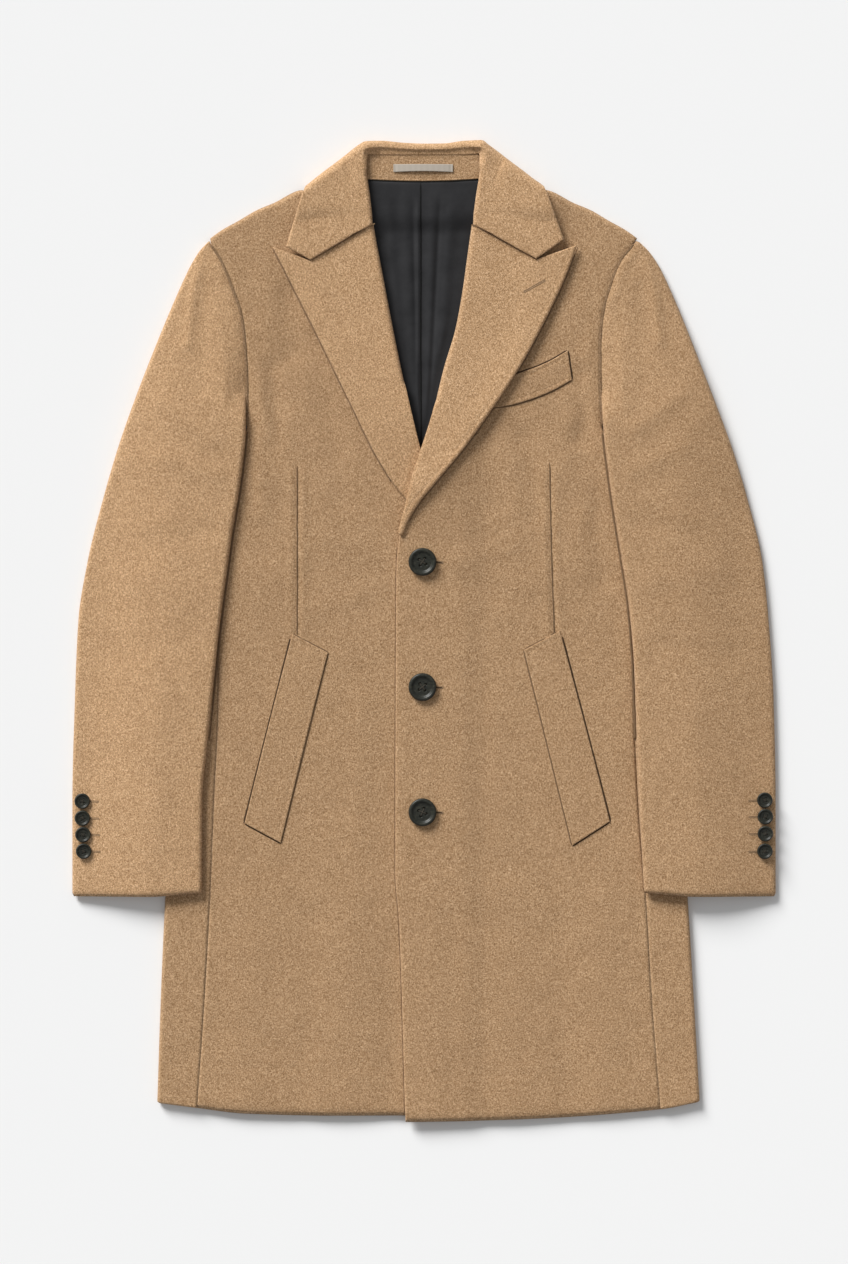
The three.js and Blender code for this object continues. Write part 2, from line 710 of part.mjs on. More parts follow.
// Inside the neck: a wool band under the collar, the back lining with its centre pleat, a hanging loop.
function backTop(x, down) {
  const lift = collarLift(x, down);
  return WALL + lift + 1.1 * Math.sin((Math.PI * lift) / FALL_ROOM);
}

function neckFacing() {
  const outline = (u, v) => [lerp(-60.5, 58.5, u), lerp(16.4, lerp(39.1, 38.6, u) + 2.2 * Math.sin(Math.PI * u), v)];
  const height = (x, down) => backTop(x, down) + SEAM_GAP + 2.4;
  return laidPly(outline, height, 2.4, 8, 3);
}

const LINING_FOLDS = [
  { x: -3.5, lean: 0, width: 2.2, height: 1.3 },
  { x: 9, lean: -0.02, width: 5, height: 0.9 },
  { x: -20, lean: 0.05, width: 6, height: 0.8 },
  { x: 30, lean: -0.08, width: 6, height: 0.8 },
  { x: -38, lean: 0.08, width: 5, height: 0.5 },
];

function liningHeight(x, down) {
  let height = backTop(x, down) + 1.5 * SEAM_GAP + LINING_PLY;
  const room = Math.min(x - FRONT_EDGE.right(down), FRONT_EDGE.left(down) - x);
  for (const fold of LINING_FOLDS) {
    const gap = x - fold.x - fold.lean * (down - 40);
    height += fold.height * Math.exp(-((gap / fold.width) ** 2)) * rise(2, 12, room) * rise(70, 90, down);
  }
  return height;
}

function backLining() {
  const margin = 13;
  const steps = [0, 0.1, 0.19, 0.27, 0.35, 0.41, 0.455, 0.48, 0.505, 0.54, 0.59, 0.66, 0.73, 0.81, 0.9, 1];
  const outline = (u, v) => {
    const start = lerp(39.4, 38.9, u) + 2.2 * Math.sin(Math.PI * u);
    const down = lerp(start, 334, v);
    const low = FRONT_EDGE.right(Math.min(down, 300)) - margin;
    const high = FRONT_EDGE.left(Math.min(down, 300)) + margin;
    const index = Math.round(u * (steps.length - 1));
    return [lerp(low, high, steps[index]), down];
  };
  return laidPly(outline, liningHeight, LINING_PLY, steps.length - 1, 11);
}

function hangerLoop() {
  const outline = (u, v) => [lerp(-30.6, 29, u), lerp(24.5, 32.4, v) - 0.8 * Math.sin(Math.PI * u) * v];
  const height = (x, down, u) => backTop(x, down) + SEAM_GAP + 2.4 + SEAM_GAP + 1.1 + 1.2 * Math.sin(Math.PI * u);
  return laidPly(outline, height, 1.1, 10, 2);
}

// Welts: a strip laid on its front, from its four corners.
function welt(side, corners) {
  const [a, b, c, d] = corners;
  const outline = (u, v) => [
    lerp(lerp(a[0], b[0], u), lerp(d[0], c[0], u), v),
    lerp(lerp(a[1], b[1], u), lerp(d[1], c[1], u), v),
  ];
  const height = (x, down, u, v) => {
    const edge = Math.min(rounded(u / 0.08), rounded((1 - u) / 0.08), rounded(v / 0.04), rounded((1 - v) / 0.04));
    return frontTop(side, x, down) + SEAM_GAP + WELT_PLY - 0.6 * (1 - edge);
  };
  return laidPly(outline, height, WELT_PLY - 0.6, 6, 10);
}

function chestWelt() {
  const top = table(['x', 'down'], [
    [84, 237.5],
    [93.8, 233.5],
    [113, 226.8],
    [128.3, 219.7],
    [143.6, 210.6],
  ]);
  const bottom = table(['x', 'down'], [
    [64, 268],
    [84.3, 265.6],
    [108.2, 258.9],
    [128.3, 250.7],
    [147.9, 239.7],
  ]);
  const outline = (u, v) => {
    const upX = lerp(84, 143.6, u);
    const lowX = lerp(66, 147.9, u);
    return [lerp(upX, lowX, v), lerp(top.down(upX), bottom.down(lowX), v)];
  };
  const height = (x, down) => frontTop('left', x, down) + SEAM_GAP + WELT_PLY;
  return laidPly(outline, height, WELT_PLY, 10, 4);
}

// Buttons: turned discs with a raised rim and a sunk middle, and a short shank of thread below.
function button(diameter, thickness, segments) {
  const radius = diameter / 2;
  const profile = [
    [0, -0.9],
    [radius * 0.16, -0.9],
    [radius * 0.16, 0],
    [radius * 0.86, 0.1],
    [radius, thickness * 0.45],
    [radius * 0.93, thickness * 0.92],
    [radius * 0.8, thickness],
    [radius * 0.66, thickness * 0.62],
    [0, thickness * 0.55],
  ];
  const points = profile.map(([x, y]) => new THREE.Vector2(x, y));
  const turned = new THREE.LatheGeometry(points, segments);
  turned.rotateX(Math.PI / 2);
  return turned;
}

const group = new THREE.Group();

function add(name, geometry, look) {
  const mesh = new THREE.Mesh(geometry, new THREE.MeshStandardMaterial(look));
  mesh.name = name;
  group.add(mesh);
  return mesh;
}

add('back', backPanel(), MELTON);
for (const side of ['left', 'right']) {
  add(`front_${side}`, frontPanel(side), MELTON);
  add(`side_${side}`, sidePanel(side), MELTON);
  add(`sleeve_${side}_top`, sleevePly(side, 'top'), MELTON);
  add(`sleeve_${side}_under`, sleevePly(side, 'under'), MELTON);
  add(`lapel_${side}`, lapel(side), MELTON);
}
add('collar', collar(), MELTON);
add('neck_facing', neckFacing(), MELTON);
add('lining', backLining(), SATIN);
add('hanger_loop', hangerLoop(), RIBBON);
add('chest_welt', chestWelt(), MELTON);
add('pocket_welt_right', welt('right', [[-131.7, 494], [-96, 512.7], [-143.3, 702.9], [-179.4, 683.2]]), MELTON);
add('pocket_welt_left', welt('left', [[100, 510], [135.8, 490.7], [185.8, 681.4], [148.3, 705.5]]), MELTON);

FRONT_BUTTON_DOWNS.forEach((down, index) => {
  const disc = add(`front_button_${index + 1}`, button(FRONT_BUTTON_DIAMETER, 4.2, 20), HORN);
  const seat = frontTop('left', FRONT_BUTTON_X, down) + 0.9 + SEAM_GAP;
  disc.position.copy(place(FRONT_BUTTON_X, down, seat));
});

for (const [side, x] of [['right', -341], ['left', 340.8]]) {
  for (let index = 0; index < 4; index += 1) {
    const down = CUFF_BUTTON_FIRST + CUFF_BUTTON_PITCH * index;
    const disc = add(`cuff_button_${side}_${index + 1}`, button(CUFF_BUTTON_DIAMETER, 3.0, 10), HORN);
    const wide = Math.abs(x) - CUFF_BUTTON_DIAMETER * 0.3;
    const seat = sleeveLow(side, wide, down) + sleeveDepth(side, wide, down) + 0.9 + SEAM_GAP;
    disc.position.copy(place(x, down, seat));
  }
}

export default group;
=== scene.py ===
import math

import bmesh
import bpy
import numpy as np
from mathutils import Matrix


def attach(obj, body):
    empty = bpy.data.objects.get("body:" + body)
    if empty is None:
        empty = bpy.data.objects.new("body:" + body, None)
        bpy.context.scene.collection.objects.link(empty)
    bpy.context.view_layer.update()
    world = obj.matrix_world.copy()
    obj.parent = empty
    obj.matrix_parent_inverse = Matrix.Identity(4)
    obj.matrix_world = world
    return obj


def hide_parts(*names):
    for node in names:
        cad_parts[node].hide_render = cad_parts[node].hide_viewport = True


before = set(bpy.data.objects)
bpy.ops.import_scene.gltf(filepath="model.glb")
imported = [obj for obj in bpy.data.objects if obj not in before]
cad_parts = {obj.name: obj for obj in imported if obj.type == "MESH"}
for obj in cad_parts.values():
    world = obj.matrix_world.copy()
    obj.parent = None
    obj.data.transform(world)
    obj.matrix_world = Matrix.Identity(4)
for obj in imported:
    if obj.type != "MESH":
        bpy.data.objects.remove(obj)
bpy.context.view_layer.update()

MM = 0.001

# Plies, heights and rounds, in mm
WALL = 3.0
BODY_HEIGHT = 8.0
CLEAR = 0.6
TURNED_PLY = 2.6
COLLAR_PLY = 3.2
LINING_PLY = 1.0
WELT_SHOWN = 1.4
FALL_ROOM = 3.9
LAPEL_LOFT = 3.4
LAP_STEP = 3.0
UNDER_LAPEL_RISE = 4.6
SLEEVE_CLIMB = BODY_HEIGHT + 0.9
HEM_WIDTH = 46.0
CUFF_WIDTH = 42.0
PRESSED = 0.5
LEAF_TOP = 16.7
STAND_TOP = 13.6
STAND_FOOT = 10.6
RIDGE_TOP = 13.2
COLLAR_CENTRE = 8.2
RIBBON_THICK = 1.0
FACING_PLY = 2.2
SHOULDER_ROUND = 4.2
SHOULDER_STEEP = 0.88
EDGE_ROUND = 1.5
CUFF_ROUND = 1.6

# Places in the plan, in mm, and what tells left from right
COAT_TOP = 490.5
UNDERARM = 288.0
SHOULDER_TIP = 98.0
SHOULDER_HALF = 214.0
SIGN = {"left": 1.0, "right": -1.0}
QUARTER_TURN = math.pi / 2.0
SIDE_START = 335.0
SIDE_END = 966.0
FRONT_END = 970.0
SLEEVE_HEAD = 101.0
CUFF_END = 756.0
TOP_BAND = 6.0


# Numeric helpers, all working on arrays

def lerp(a, b, t):
    return a + (b - a) * t


def rise(start, end, value):
    t = np.clip((np.asarray(value, dtype=float) - start) / (end - start), 0.0, 1.0)
    return t * t * (3.0 - 2.0 * t)


def rounded(t):
    return np.sqrt(1.0 - (1.0 - np.clip(t, 0.0, 1.0)) ** 2)


def bell(gap, width):
    return np.exp(-(gap / width) ** 2)


def smooth_curve(keys, values):
    """Monotone cubic through the points, held level past both ends."""
    keys = np.array(keys, dtype=float)
    values = np.array(values, dtype=float)
    slope = np.diff(values) / np.diff(keys)
    tangent = np.concatenate([slope[:1], np.zeros(len(values) - 2), slope[-1:]])
    for i in range(1, len(values) - 1):
        if slope[i - 1] * slope[i] > 0:
            tangent[i] = 2.0 * slope[i - 1] * slope[i] / (slope[i - 1] + slope[i])

    def at(where):
        where = np.clip(np.asarray(where, dtype=float), keys[0], keys[-1])
        i = np.clip(np.searchsorted(keys, where, side="right") - 1, 0, len(keys) - 2)
        span = keys[i + 1] - keys[i]
        t = (where - keys[i]) / span
        t2 = t * t
        t3 = t2 * t
        return ((2 * t3 - 3 * t2 + 1) * values[i] + (t3 - 2 * t2 + t) * span * tangent[i]
                + (3 * t2 - 2 * t3) * values[i + 1] + (t3 - t2) * span * tangent[i + 1])

    return at


def table(names, rows):
    """Columns of a table as smooth functions of its first column."""
    key = [row[0] for row in rows]
    return {name: smooth_curve(key, [row[i + 1] for row in rows]) for i, name in enumerate(names[1:])}


def swell(x, down, size, seed):
    """Smooth uneven relief from -1 to 1, with hills about size across. The same seed gives the same relief."""
    u = np.asarray(x, dtype=float) / size + 100.0
    v = np.asarray(down, dtype=float) / size + 100.0
    i = np.floor(u)
    j = np.floor(v)
    fu = u - i
    fv = v - j
    fu = fu * fu * fu * (fu * (fu * 6 - 15) + 10)
    fv = fv * fv * fv * (fv * (fv * 6 - 15) + 10)

    def corner(a, b):
        value = np.sin(a * 127.1 + b * 311.7 + seed * 74.7) * 43758.5453
        return 2.0 * (value - np.floor(value)) - 1.0

    low = lerp(corner(i, j), corner(i + 1, j), fu)
    high = lerp(corner(i, j + 1), corner(i + 1, j + 1), fu)
    return lerp(low, high, fv)


def spread(fractions, count):
    """Even steps between the given fractions, so that each of them is a grid line."""
    edges = np.array(fractions, dtype=float)
    steps = [edges[:1]]
    for low, high in zip(edges[:-1], edges[1:]):
        parts = max(1, int(round(count * (high - low))))
        steps.append(np.linspace(low, high, parts + 1)[1:])
    return np.concatenate(steps)


def closing(length, radius, count, start=True):
    """Distances from 0 to length, crowded like a quarter circle at the rounded ends."""
    arc = radius * (1.0 - np.cos(np.linspace(0.0, QUARTER_TURN, 6)))
    low = arc if start else np.array([0.0, radius])
    high = (length - arc)[::-1]
    middle = np.linspace(low[-1], high[0], max(2, int(count)))
    return np.concatenate([low, middle[1:-1], high])


# Outlines. Their values are distances from the centre line, unless a comment says otherwise.

ARM_LINE = table(("down", "right", "left"), (
    (98, 214, 213.5),
    (104, 213, 209),
    (120, 203, 196.5),
    (147, 192, 185.5),
    (175, 182.5, 178),
    (205, 179, 175.5),
    (245, 177, 176),
    (288, 177, 178),
    (325, 180.5, 182.5),
    (358, 185, 187),
    (393, 191, 192.5),
    (420, 194.5, 197),
    (467, 201, 204),
    (530, 208, 209),
    (609, 216, 212),
    (658, 220.5, 213.8),
    (755, 221, 219),
))
SLEEVE_OUTER = table(("down", "right", "left"), (
    (101, 217.4, 217),
    (108, 224, 224),
    (120, 231, 232),
    (134, 238, 239.5),
    (170, 254, 255.5),
    (214, 272, 273),
    (262, 290.5, 291.5),
    (308, 306.5, 308.5),
    (356, 320.5, 323),
    (420, 336.5, 338.5),
    (480, 346, 345),
    (560, 349.5, 350),
    (660, 352, 352),
    (756, 352, 352),
))
SIDE_SEAM = table(("down", "right", "left"), (
    (288, 177, 178),
    (302, 184, 185),
    (318, 198, 199),
    (334, 211, 213),
    (360, 209.5, 212),
    (460, 206.5, 209.5),
    (560, 206, 210),
    (660, 210, 214),
    (760, 214, 222),
    (860, 219.5, 228),
    (968, 227, 236.5),
))
BACK_SIDE = table(("down", "right", "left"), (
    (288, 177, 178),
    (302, 184, 185),
    (318, 196, 197),
    (334, 200, 204),
    (460, 206, 211),
    (560, 211.5, 217),
    (760, 222.5, 229.5),
    (966, 233, 242),
))
BODY_EDGE = table(("down", "right", "left"), (
    (334, 236, 240),
    (360, 234, 238),
    (460, 238, 243),
    (560, 246, 250),
    (660, 252, 257),
    (760, 259, 264),
    (860, 263.5, 270),
    (966, 267, 276),
))
# The roll lines of the lapels, running on as the front edges. x, not a distance.
FRONT_EDGE = table(("down", "right", "left"), (
    (12, -58.5, 56),
    (37, -57, 55),
    (60, -53.2, 51.4),
    (84, -50.4, 47.8),
    (125, -43, 42),
    (145, -39.2, 39.3),
    (188, -31, 31.5),
    (227, -23, 20),
    (276, -12, 7.8),
    (310, -3.5, -3),
    (342, 6, -13),
    (360, 11.5, -17.3),
    (401, 24, -26),
    (430, 28, -27.6),
    (738, 28, -28.6),
    (781, 28, -24.8),
    (982, 28, -18.5),
))
# The shoulder line, a down for each distance from the centre line. It steps up outside the collar.
SHOULDER = table(("half", "down"), (
    (54, 15),
    (72, 21),
    (84, 30),
    (100, 40),
    (108, 47),
    (118, 57),
    (123.5, 50),
    (131, 52.5),
    (139, 56.5),
    (147, 61),
    (168, 70),
    (185, 80),
    (203, 90),
    (214, 98),
))
# The hem line, a down for each x
HEM = table(("x", "right", "left"), (
    (-267, 963, 982),
    (-229, 968, 982),
    (-178, 974, 982),
    (-90, 976, 982),
    (-18, 976, 982),
    (28, 976, 981.5),
    (113, 976, 979),
    (237, 976, 969.5),
    (276, 976, 962),
))

# Soft folds and troughs of the laid cloth. Each runs from (x, down) to (to_x, to_down), and a minus height
# is a trough. piece names the group of panels that it crosses.
FOLD_COLUMNS = ("piece", "x", "down", "to_x", "to_down", "width", "height")
FOLDS = (
    # Broad swells that the solids have too
    ("front", -172, 190, -140, 330, 22, 1.0),
    ("front", -196, 420, -120, 470, 26, 0.8),
    ("front", -80, 330, -150, 440, 24, 0.7),
    ("front", -70, 760, -84, 960, 26, 0.9),
    ("front", -170, 760, -184, 960, 22, 0.8),
    ("front", 168, 180, 140, 330, 22, 1.0),
    ("front", 190, 400, 110, 450, 26, 0.8),
    ("front", 76, 330, 150, 430, 24, 0.7),
    ("front", 76, 760, 92, 960, 28, 0.9),
    ("front", 176, 760, 190, 955, 22, 0.8),
    # Drag lines towards the armholes
    ("front", -176, 232, -150, 300, 8, 1.4),
    ("front", -170, 205, -138, 262, 11, -1.1),
    ("front", -168, 300, -160, 372, 9, 1.2),
    ("front", 174, 214, 150, 282, 9, 1.4),
    ("front", 170, 176, 140, 236, 11, -1.0),
    ("front", 170, 318, 162, 380, 10, 1.2),
    # Soft hollows of the chest beside the lapels
    ("front", -136, 158, -130, 212, 15, -2.4),
    ("front", -151, 228, -147, 300, 9, -1.8),
    ("front", 158, 236, 154, 300, 10, -1.7),
    ("front", 100, 300, 112, 372, 14, -1.7),
    ("front", 160, 236, 178, 440, 12, -1.7),
    ("front", 66, 290, 74, 360, 14, -1.2),
    ("front", -108, 206, -80, 360, 14, -1.3),
    # Strain towards the top button, and the skirt's long soft troughs
    ("front", -26, 424, -96, 396, 10, 0.6),
    ("front", -26, 440, -110, 470, 11, 0.5),
    ("front", 22, 424, 92, 404, 10, 0.6),
    ("front", 24, 440, 110, 462, 11, -0.5),
    ("front", -60, 560, -66, 700, 12, 0.5),
    ("front", 70, 570, 78, 700, 12, 0.5),
    ("front", -112, 780, -122, 968, 14, -0.8),
    ("front", -30, 800, -34, 972, 12, -0.6),
    ("front", 30, 780, 34, 976, 14, -0.7),
    ("front", 132, 790, 146, 968, 14, -0.8),
    # Sleeves: crease down from the head, folds at the underarm and the elbow
    ("sleeve", -227, 118, -236, 205, 6, 1.5),
    ("sleeve", -218, 150, -222, 250, 9, -0.8),
    ("sleeve", -212, 300, -262, 262, 9, 1.1),
    ("sleeve", -206, 336, -262, 318, 10, 0.9),
    ("sleeve", -214, 392, -270, 402, 12, -0.8),
    ("sleeve", -226, 452, -286, 440, 14, 0.8),
    ("sleeve", -238, 500, -312, 516, 14, -0.6),
    ("sleeve", -262, 560, -268, 720, 16, 0.6),
    ("sleeve", 226, 118, 236, 200, 6, 1.5),
    ("sleeve", 216, 150, 220, 246, 9, -0.8),
    ("sleeve", 210, 290, 258, 254, 9, 1.1),
    ("sleeve", 208, 330, 262, 306, 10, 0.9),
    ("sleeve", 214, 384, 272, 398, 12, -0.8),
    ("sleeve", 224, 440, 290, 430, 14, 0.8),
    ("sleeve", 238, 506, 310, 520, 14, -0.6),
    ("sleeve", 264, 566, 270, 720, 16, 0.6),
)


def fold_height(piece, x, down):
    height = np.zeros(np.broadcast(x, down).shape)
    for fold in FOLDS:
        row = dict(zip(FOLD_COLUMNS, fold))
        if row["piece"] != piece:
            continue
        span_x = row["to_x"] - row["x"]
        span_down = row["to_down"] - row["down"]
        t = ((x - row["x"]) * span_x + (down - row["down"]) * span_down) / (span_x ** 2 + span_down ** 2)
        t = np.clip(t, 0.0, 1.0)
        gap2 = (x - row["x"] - t * span_x) ** 2 + (down - row["down"] - t * span_down) ** 2
        height = height + row["height"] * np.exp(-gap2 / row["width"] ** 2)
    return height


def cloth_swell(x, down, seed):
    """The uneven lie of heavy cloth: broad swells and a little short relief."""
    broad = 0.34 * swell(x, down, 74.0, seed)
    middling = 0.16 * swell(x, down, 29.0, seed + 3.0)
    short = 0.06 * swell(x, down, 11.0, seed)
    return broad + middling + short


# Heights above the floor

def collar_lift(x, down):
    return FALL_ROOM * rise(94, 66, down) * rise(152, 122, np.abs(x))


def roll_rise(side, x, down):
    gap = np.abs(x - FRONT_EDGE[side](down))
    fade = rise(420, 330, down) if side == "left" else rise(330, 270, down)
    return lerp(1.2, 3.0, rise(62, 92, down)) * fade * rise(62, 10, gap)


def front_height(side, x, down):
    base = BODY_HEIGHT + collar_lift(x, down)
    if side == "right":
        return base + roll_rise(side, x, down) - 0.5 * rise(-75, -40, x) * rise(300, 340, down)
    lap = LAP_STEP * rise(64, 34, x) * rise(280, 330, down)
    over_lapel = UNDER_LAPEL_RISE * np.exp(-((x + 2) / 36) ** 2 - ((down - 333) / 52) ** 2)
    return base + np.maximum(lap, roll_rise(side, x, down)) + over_lapel


def front_relief(side, x, down):
    wide = SIGN[side] * x
    limit = np.minimum(ARM_LINE[side](down), SIDE_SEAM[side](down))
    fade = rise(limit - 2, limit - 18, wide) * rise(16, 46, np.abs(x - FRONT_EDGE[side](down)))
    return (fold_height("front", x, down) + cloth_swell(x, down, 1.0)) * fade


def front_top(side, x, down):
    return front_height(side, x, down) + front_relief(side, x, down)


def lapel_loft(side, x, down):
    gap = np.abs(x - FRONT_EDGE[side](down))
    return LAPEL_LOFT * rise(14, 74, gap) * rise(400, 330, down)


def turned_top(side, x, down):
    extra = 0.6 if side == "left" else 0.3 * rise(350, 320, down)
    clear = CLEAR + extra * rise(230, 290, down)
    relief = 0.5 * cloth_swell(x, down, 5.0) * rise(6, 30, np.abs(x - FRONT_EDGE[side](down)))
    base = front_height(side, x, down) + 0.6 * front_relief(side, x, down)
    return base + clear + TURNED_PLY + lapel_loft(side, x, down) + relief


def back_top(x, down):
    lift = collar_lift(x, down)
    return WALL + lift + 1.1 * np.sin(math.pi * lift / FALL_ROOM)


def sleeve_low(side, wide, down):
    edge = BODY_EDGE[side](down)
    return SLEEVE_CLIMB * rise(248, 284, down) * rise(edge + 56, edge + 12, wide)


def sleeve_smooth(side, wide, down):
    """Extra height that carries the upper ply over the step where the sleeve climbs on to the body."""
    edge = BODY_EDGE[side](down)
    gradual = SLEEVE_CLIMB * rise(120, 290, down) * rise(edge + 100, edge + 12, wide)
    return (gradual - sleeve_low(side, wide, down)) * rise(0.0, 24.0, wide - ARM_LINE[side](down))


def sleeve_depth(side, wide, down):
    inner = ARM_LINE[side](down)
    outer = SLEEVE_OUTER[side](down)
    t = np.clip((wide - inner) / (outer - inner), 0.0, 1.0)
    puff = 1.9 * np.sin(math.pi * np.clip(t * 1.02, 0.0, 1.0)) ** 0.6
    head = 0.6 * rise(190, 120, down) * rise(1.0, 0.6, t)
    return 2 * WALL + 1.4 + puff * rise(101, 150, down) + head


# Meshes

def grid_mesh(name, outer, inner=None):
    """A mesh object from a grid of points in mm, closed round its rim where an inner grid is given."""
    rows, columns = outer.shape[:2]
    points = outer.reshape(-1, 3)
    if inner is not None:
        points = np.vstack([points, inner.reshape(-1, 3)])
    index = np.arange(rows * columns).reshape(rows, columns)
    a, b, c, d = index[:-1, :-1], index[:-1, 1:], index[1:, 1:], index[1:, :-1]
    faces = [np.stack([a, b, c, d], axis=-1).reshape(-1, 4)]
    if inner is not None:
        under = index + rows * columns
        a, b, c, d = under[:-1, :-1], under[1:, :-1], under[1:, 1:], under[:-1, 1:]
        faces.append(np.stack([a, b, c, d], axis=-1).reshape(-1, 4))
        for rim in (index[0, ::-1], index[-1, :], index[:, 0], index[::-1, -1]):
            low = rim + rows * columns
            faces.append(np.stack([rim[:-1], rim[1:], low[1:], low[:-1]], axis=-1))
    faces = np.vstack(faces)
    mesh = bpy.data.meshes.new(name)
    mesh.vertices.add(len(points))
    mesh.vertices.foreach_set("co", (points * MM).astype(np.float32).ravel())
    mesh.loops.add(faces.size)
    mesh.loops.foreach_set("vertex_index", faces.ravel().astype(np.int32))
    mesh.polygons.add(len(faces))
    mesh.polygons.foreach_set("loop_start", np.arange(0, faces.size, 4, dtype=np.int32))
    mesh.polygons.foreach_set("loop_total", np.full(len(faces), 4, dtype=np.int32))
    mesh.update(calc_edges=True)
    mesh.polygons.foreach_set("use_smooth", np.ones(len(faces), dtype=bool))
    piece = bpy.data.objects.new(name, mesh)
    bpy.context.scene.collection.objects.link(piece)
    tidy_mesh(piece)
    return piece


def tidy_mesh(piece):
    """Merges points that meet, drops faces without area and turns the faces outward."""
    work = bmesh.new()
    work.from_mesh(piece.data)
    bmesh.ops.remove_doubles(work, verts=work.verts, dist=0.00002)
    bmesh.ops.dissolve_degenerate(work, dist=0.00001, edges=work.edges)
    bmesh.ops.recalc_face_normals(work, faces=work.faces)
    work.to_mesh(piece.data)
    work.free()


def grid_normals(points):
    along = np.gradient(points, axis=1)
    down = np.gradient(points, axis=0)
    normal = np.cross(along, down)
    length = np.linalg.norm(normal, axis=2, keepdims=True)
    return normal / np.maximum(length, 1e-9)


def to_points(x, down, z):
    x, down, z = np.broadcast_arrays(x, down, z)
    return np.stack([x, COAT_TOP - down, z], axis=-1).astype(float)


def shell(name, outer, thickness, soften, inside=None):
    """A thin ply inside its outer grid. soften is 0 at a rounded free edge and 1 away from it.

    inside holds points on the ply's inner side, and without them the outer side faces up.
    """
    normal = grid_normals(outer)
    facing = np.mean(normal[..., 2]) if inside is None else np.sum((outer - inside) * normal)
    if facing < 0:
        normal = -normal
    half = thickness / 2.0
    middle = outer - normal * half
    share = soften[..., None]
    return grid_mesh(name, middle + normal * half * share, middle - normal * half * share)


# Fronts

def front_inset(side, down):
    """How far the front stops short of its roll line, where the facing turns back round it."""
    fade_from = 288.0 if side == "left" else 258.0
    return lerp(5.4, 0.9, rise(fade_from, fade_from + 34.0, down)) * rise(425, 400, down)


def side_line(side, down):
    upper = ARM_LINE[side](np.maximum(down, SHOULDER_TIP))
    return np.where(down < UNDERARM, upper, SIDE_SEAM[side](down))


def front_edge_at(side, down):
    return FRONT_EDGE[side](down) + SIGN[side] * front_inset(side, down)


def seam_trough(gap, width, depth):
    return -depth * bell(gap, width)


def panel_rows(top_down, hem_down, top_count, row_count):
    """The down of every grid point from shoulder to hem, with rows crowded at the shoulder's round."""
    top_steps = TOP_BAND * (1.0 - np.cos(np.linspace(0.0, QUARTER_TURN, top_count)))
    row_steps = np.linspace(0.0, 1.0, row_count)[1:]
    return np.vstack([
        top_down[None, :] + top_steps[:, None],
        lerp(top_down[None, :] + TOP_BAND, hem_down[None, :], row_steps[:, None]),
    ])


def shoulder_round(down, top_down):
    return rounded((down - top_down[None, :]) * SHOULDER_STEEP / SHOULDER_ROUND)


def front_panel(side):
    shoulder_middle = 4.55
    across = closing(1.0, 0.012, 92, start=False)
    sign = SIGN[side]
    top_x = lerp(SHOULDER_HALF, np.abs(front_edge_at(side, 12.0)), across)
    top_down = SHOULDER["down"](top_x)
    hem_side = side_line(side, np.full_like(across, FRONT_END))
    hem_x = lerp(sign * hem_side, front_edge_at(side, FRONT_END), across)
    hem_down = HEM[side](hem_x)
    down = panel_rows(top_down, hem_down, 9, 214)
    x = lerp(sign * side_line(side, down), front_edge_at(side, down), across[None, :])
    full = front_top(side, x, down)
    middle = collar_lift(x, down) + shoulder_middle
    side_gap = np.abs(np.abs(x) - side_line(side, down))
    z = lerp(middle, full, shoulder_round(down, top_down))
    z = z + seam_trough(side_gap, 3.0, 0.7) * rise(700, 640, down)
    z = z + dart_trough(side, x, down) + edge_stitch(side, x, down, hem_down[None, :])
    outer = to_points(x, down, z)
    hem_gap = np.maximum(hem_down[None, :] - down, 0.0)
    edge_gap = np.abs(x - front_edge_at(side, down)) + 6.0 * rise(330, 300, down)
    soften = np.minimum(rounded(hem_gap / EDGE_ROUND), rounded(edge_gap / EDGE_ROUND))
    return shell(f"front_{side}_cloth", outer, WALL, soften)


# Darts run from the chest to the pocket welts
DART = {
    "left": table(("down", "x"), ((321, 125.5), (400, 127), (490, 130))),
    "right": table(("down", "x"), ((328, -127), (400, -127), (493, -127))),
}


def dart_trough(side, x, down):
    gap = x - DART[side]["x"](down)
    reach = rise(316, 336, down) * rise(502, 496, down)
    return (-1.1 * bell(gap, 1.5) + 0.55 * bell(np.abs(gap) - 6.0, 4.0)) * reach


def edge_stitch(side, x, down, hem_down):
    """The pressed hem and front edge: thin at the edge, with a faint line a hem's width in."""
    hem_gap = hem_down - down
    hem = -PRESSED * bell(hem_gap, 5.0) - 0.22 * bell(hem_gap - HEM_WIDTH, 3.0)
    edge_gap = np.abs(x - FRONT_EDGE[side](down))
    edge = -PRESSED * bell(edge_gap, 4.0) * rise(400, 440, down) if side == "left" else 0.0
    return hem + edge


# Back: flat on the floor, raised over the collar's fall, turned up at the shoulders

def back_side(side, down):
    upper = ARM_LINE[side](np.maximum(down, SHOULDER_TIP))
    return np.where(down < UNDERARM, upper, BACK_SIDE[side](down))


def back_panel():
    hem_short = 2.0
    lap_short = 3.0
    rest_height = 3.45
    across = np.linspace(0.0, 1.0, 96)
    top_down = SHOULDER["down"](np.abs(lerp(-SHOULDER_HALF, SHOULDER_HALF, across)))
    hem_level = np.full_like(across, SIDE_END)
    hem_x = lerp(-back_side("right", hem_level), back_side("left", hem_level), across)
    left_hem = HEM["left"](hem_x) - lap_short * rise(200, 100, hem_x)
    hem_down = np.where(hem_x < 0, HEM["right"](hem_x), left_hem) - hem_short
    down = panel_rows(top_down, hem_down, 7, 140)
    x = lerp(-back_side("right", down), back_side("left", down), across[None, :])
    neck = rise(70, 60, np.abs(x))
    shoulder = np.maximum(neck, shoulder_round(down, top_down))
    outer = to_points(x, down, collar_lift(x, down) + lerp(rest_height, 0.0, shoulder))
    soften = rounded((hem_down[None, :] - down) / EDGE_ROUND)
    inside = outer + np.array([0.0, 0.0, WALL])
    return shell("back_cloth", outer, WALL, soften, inside)


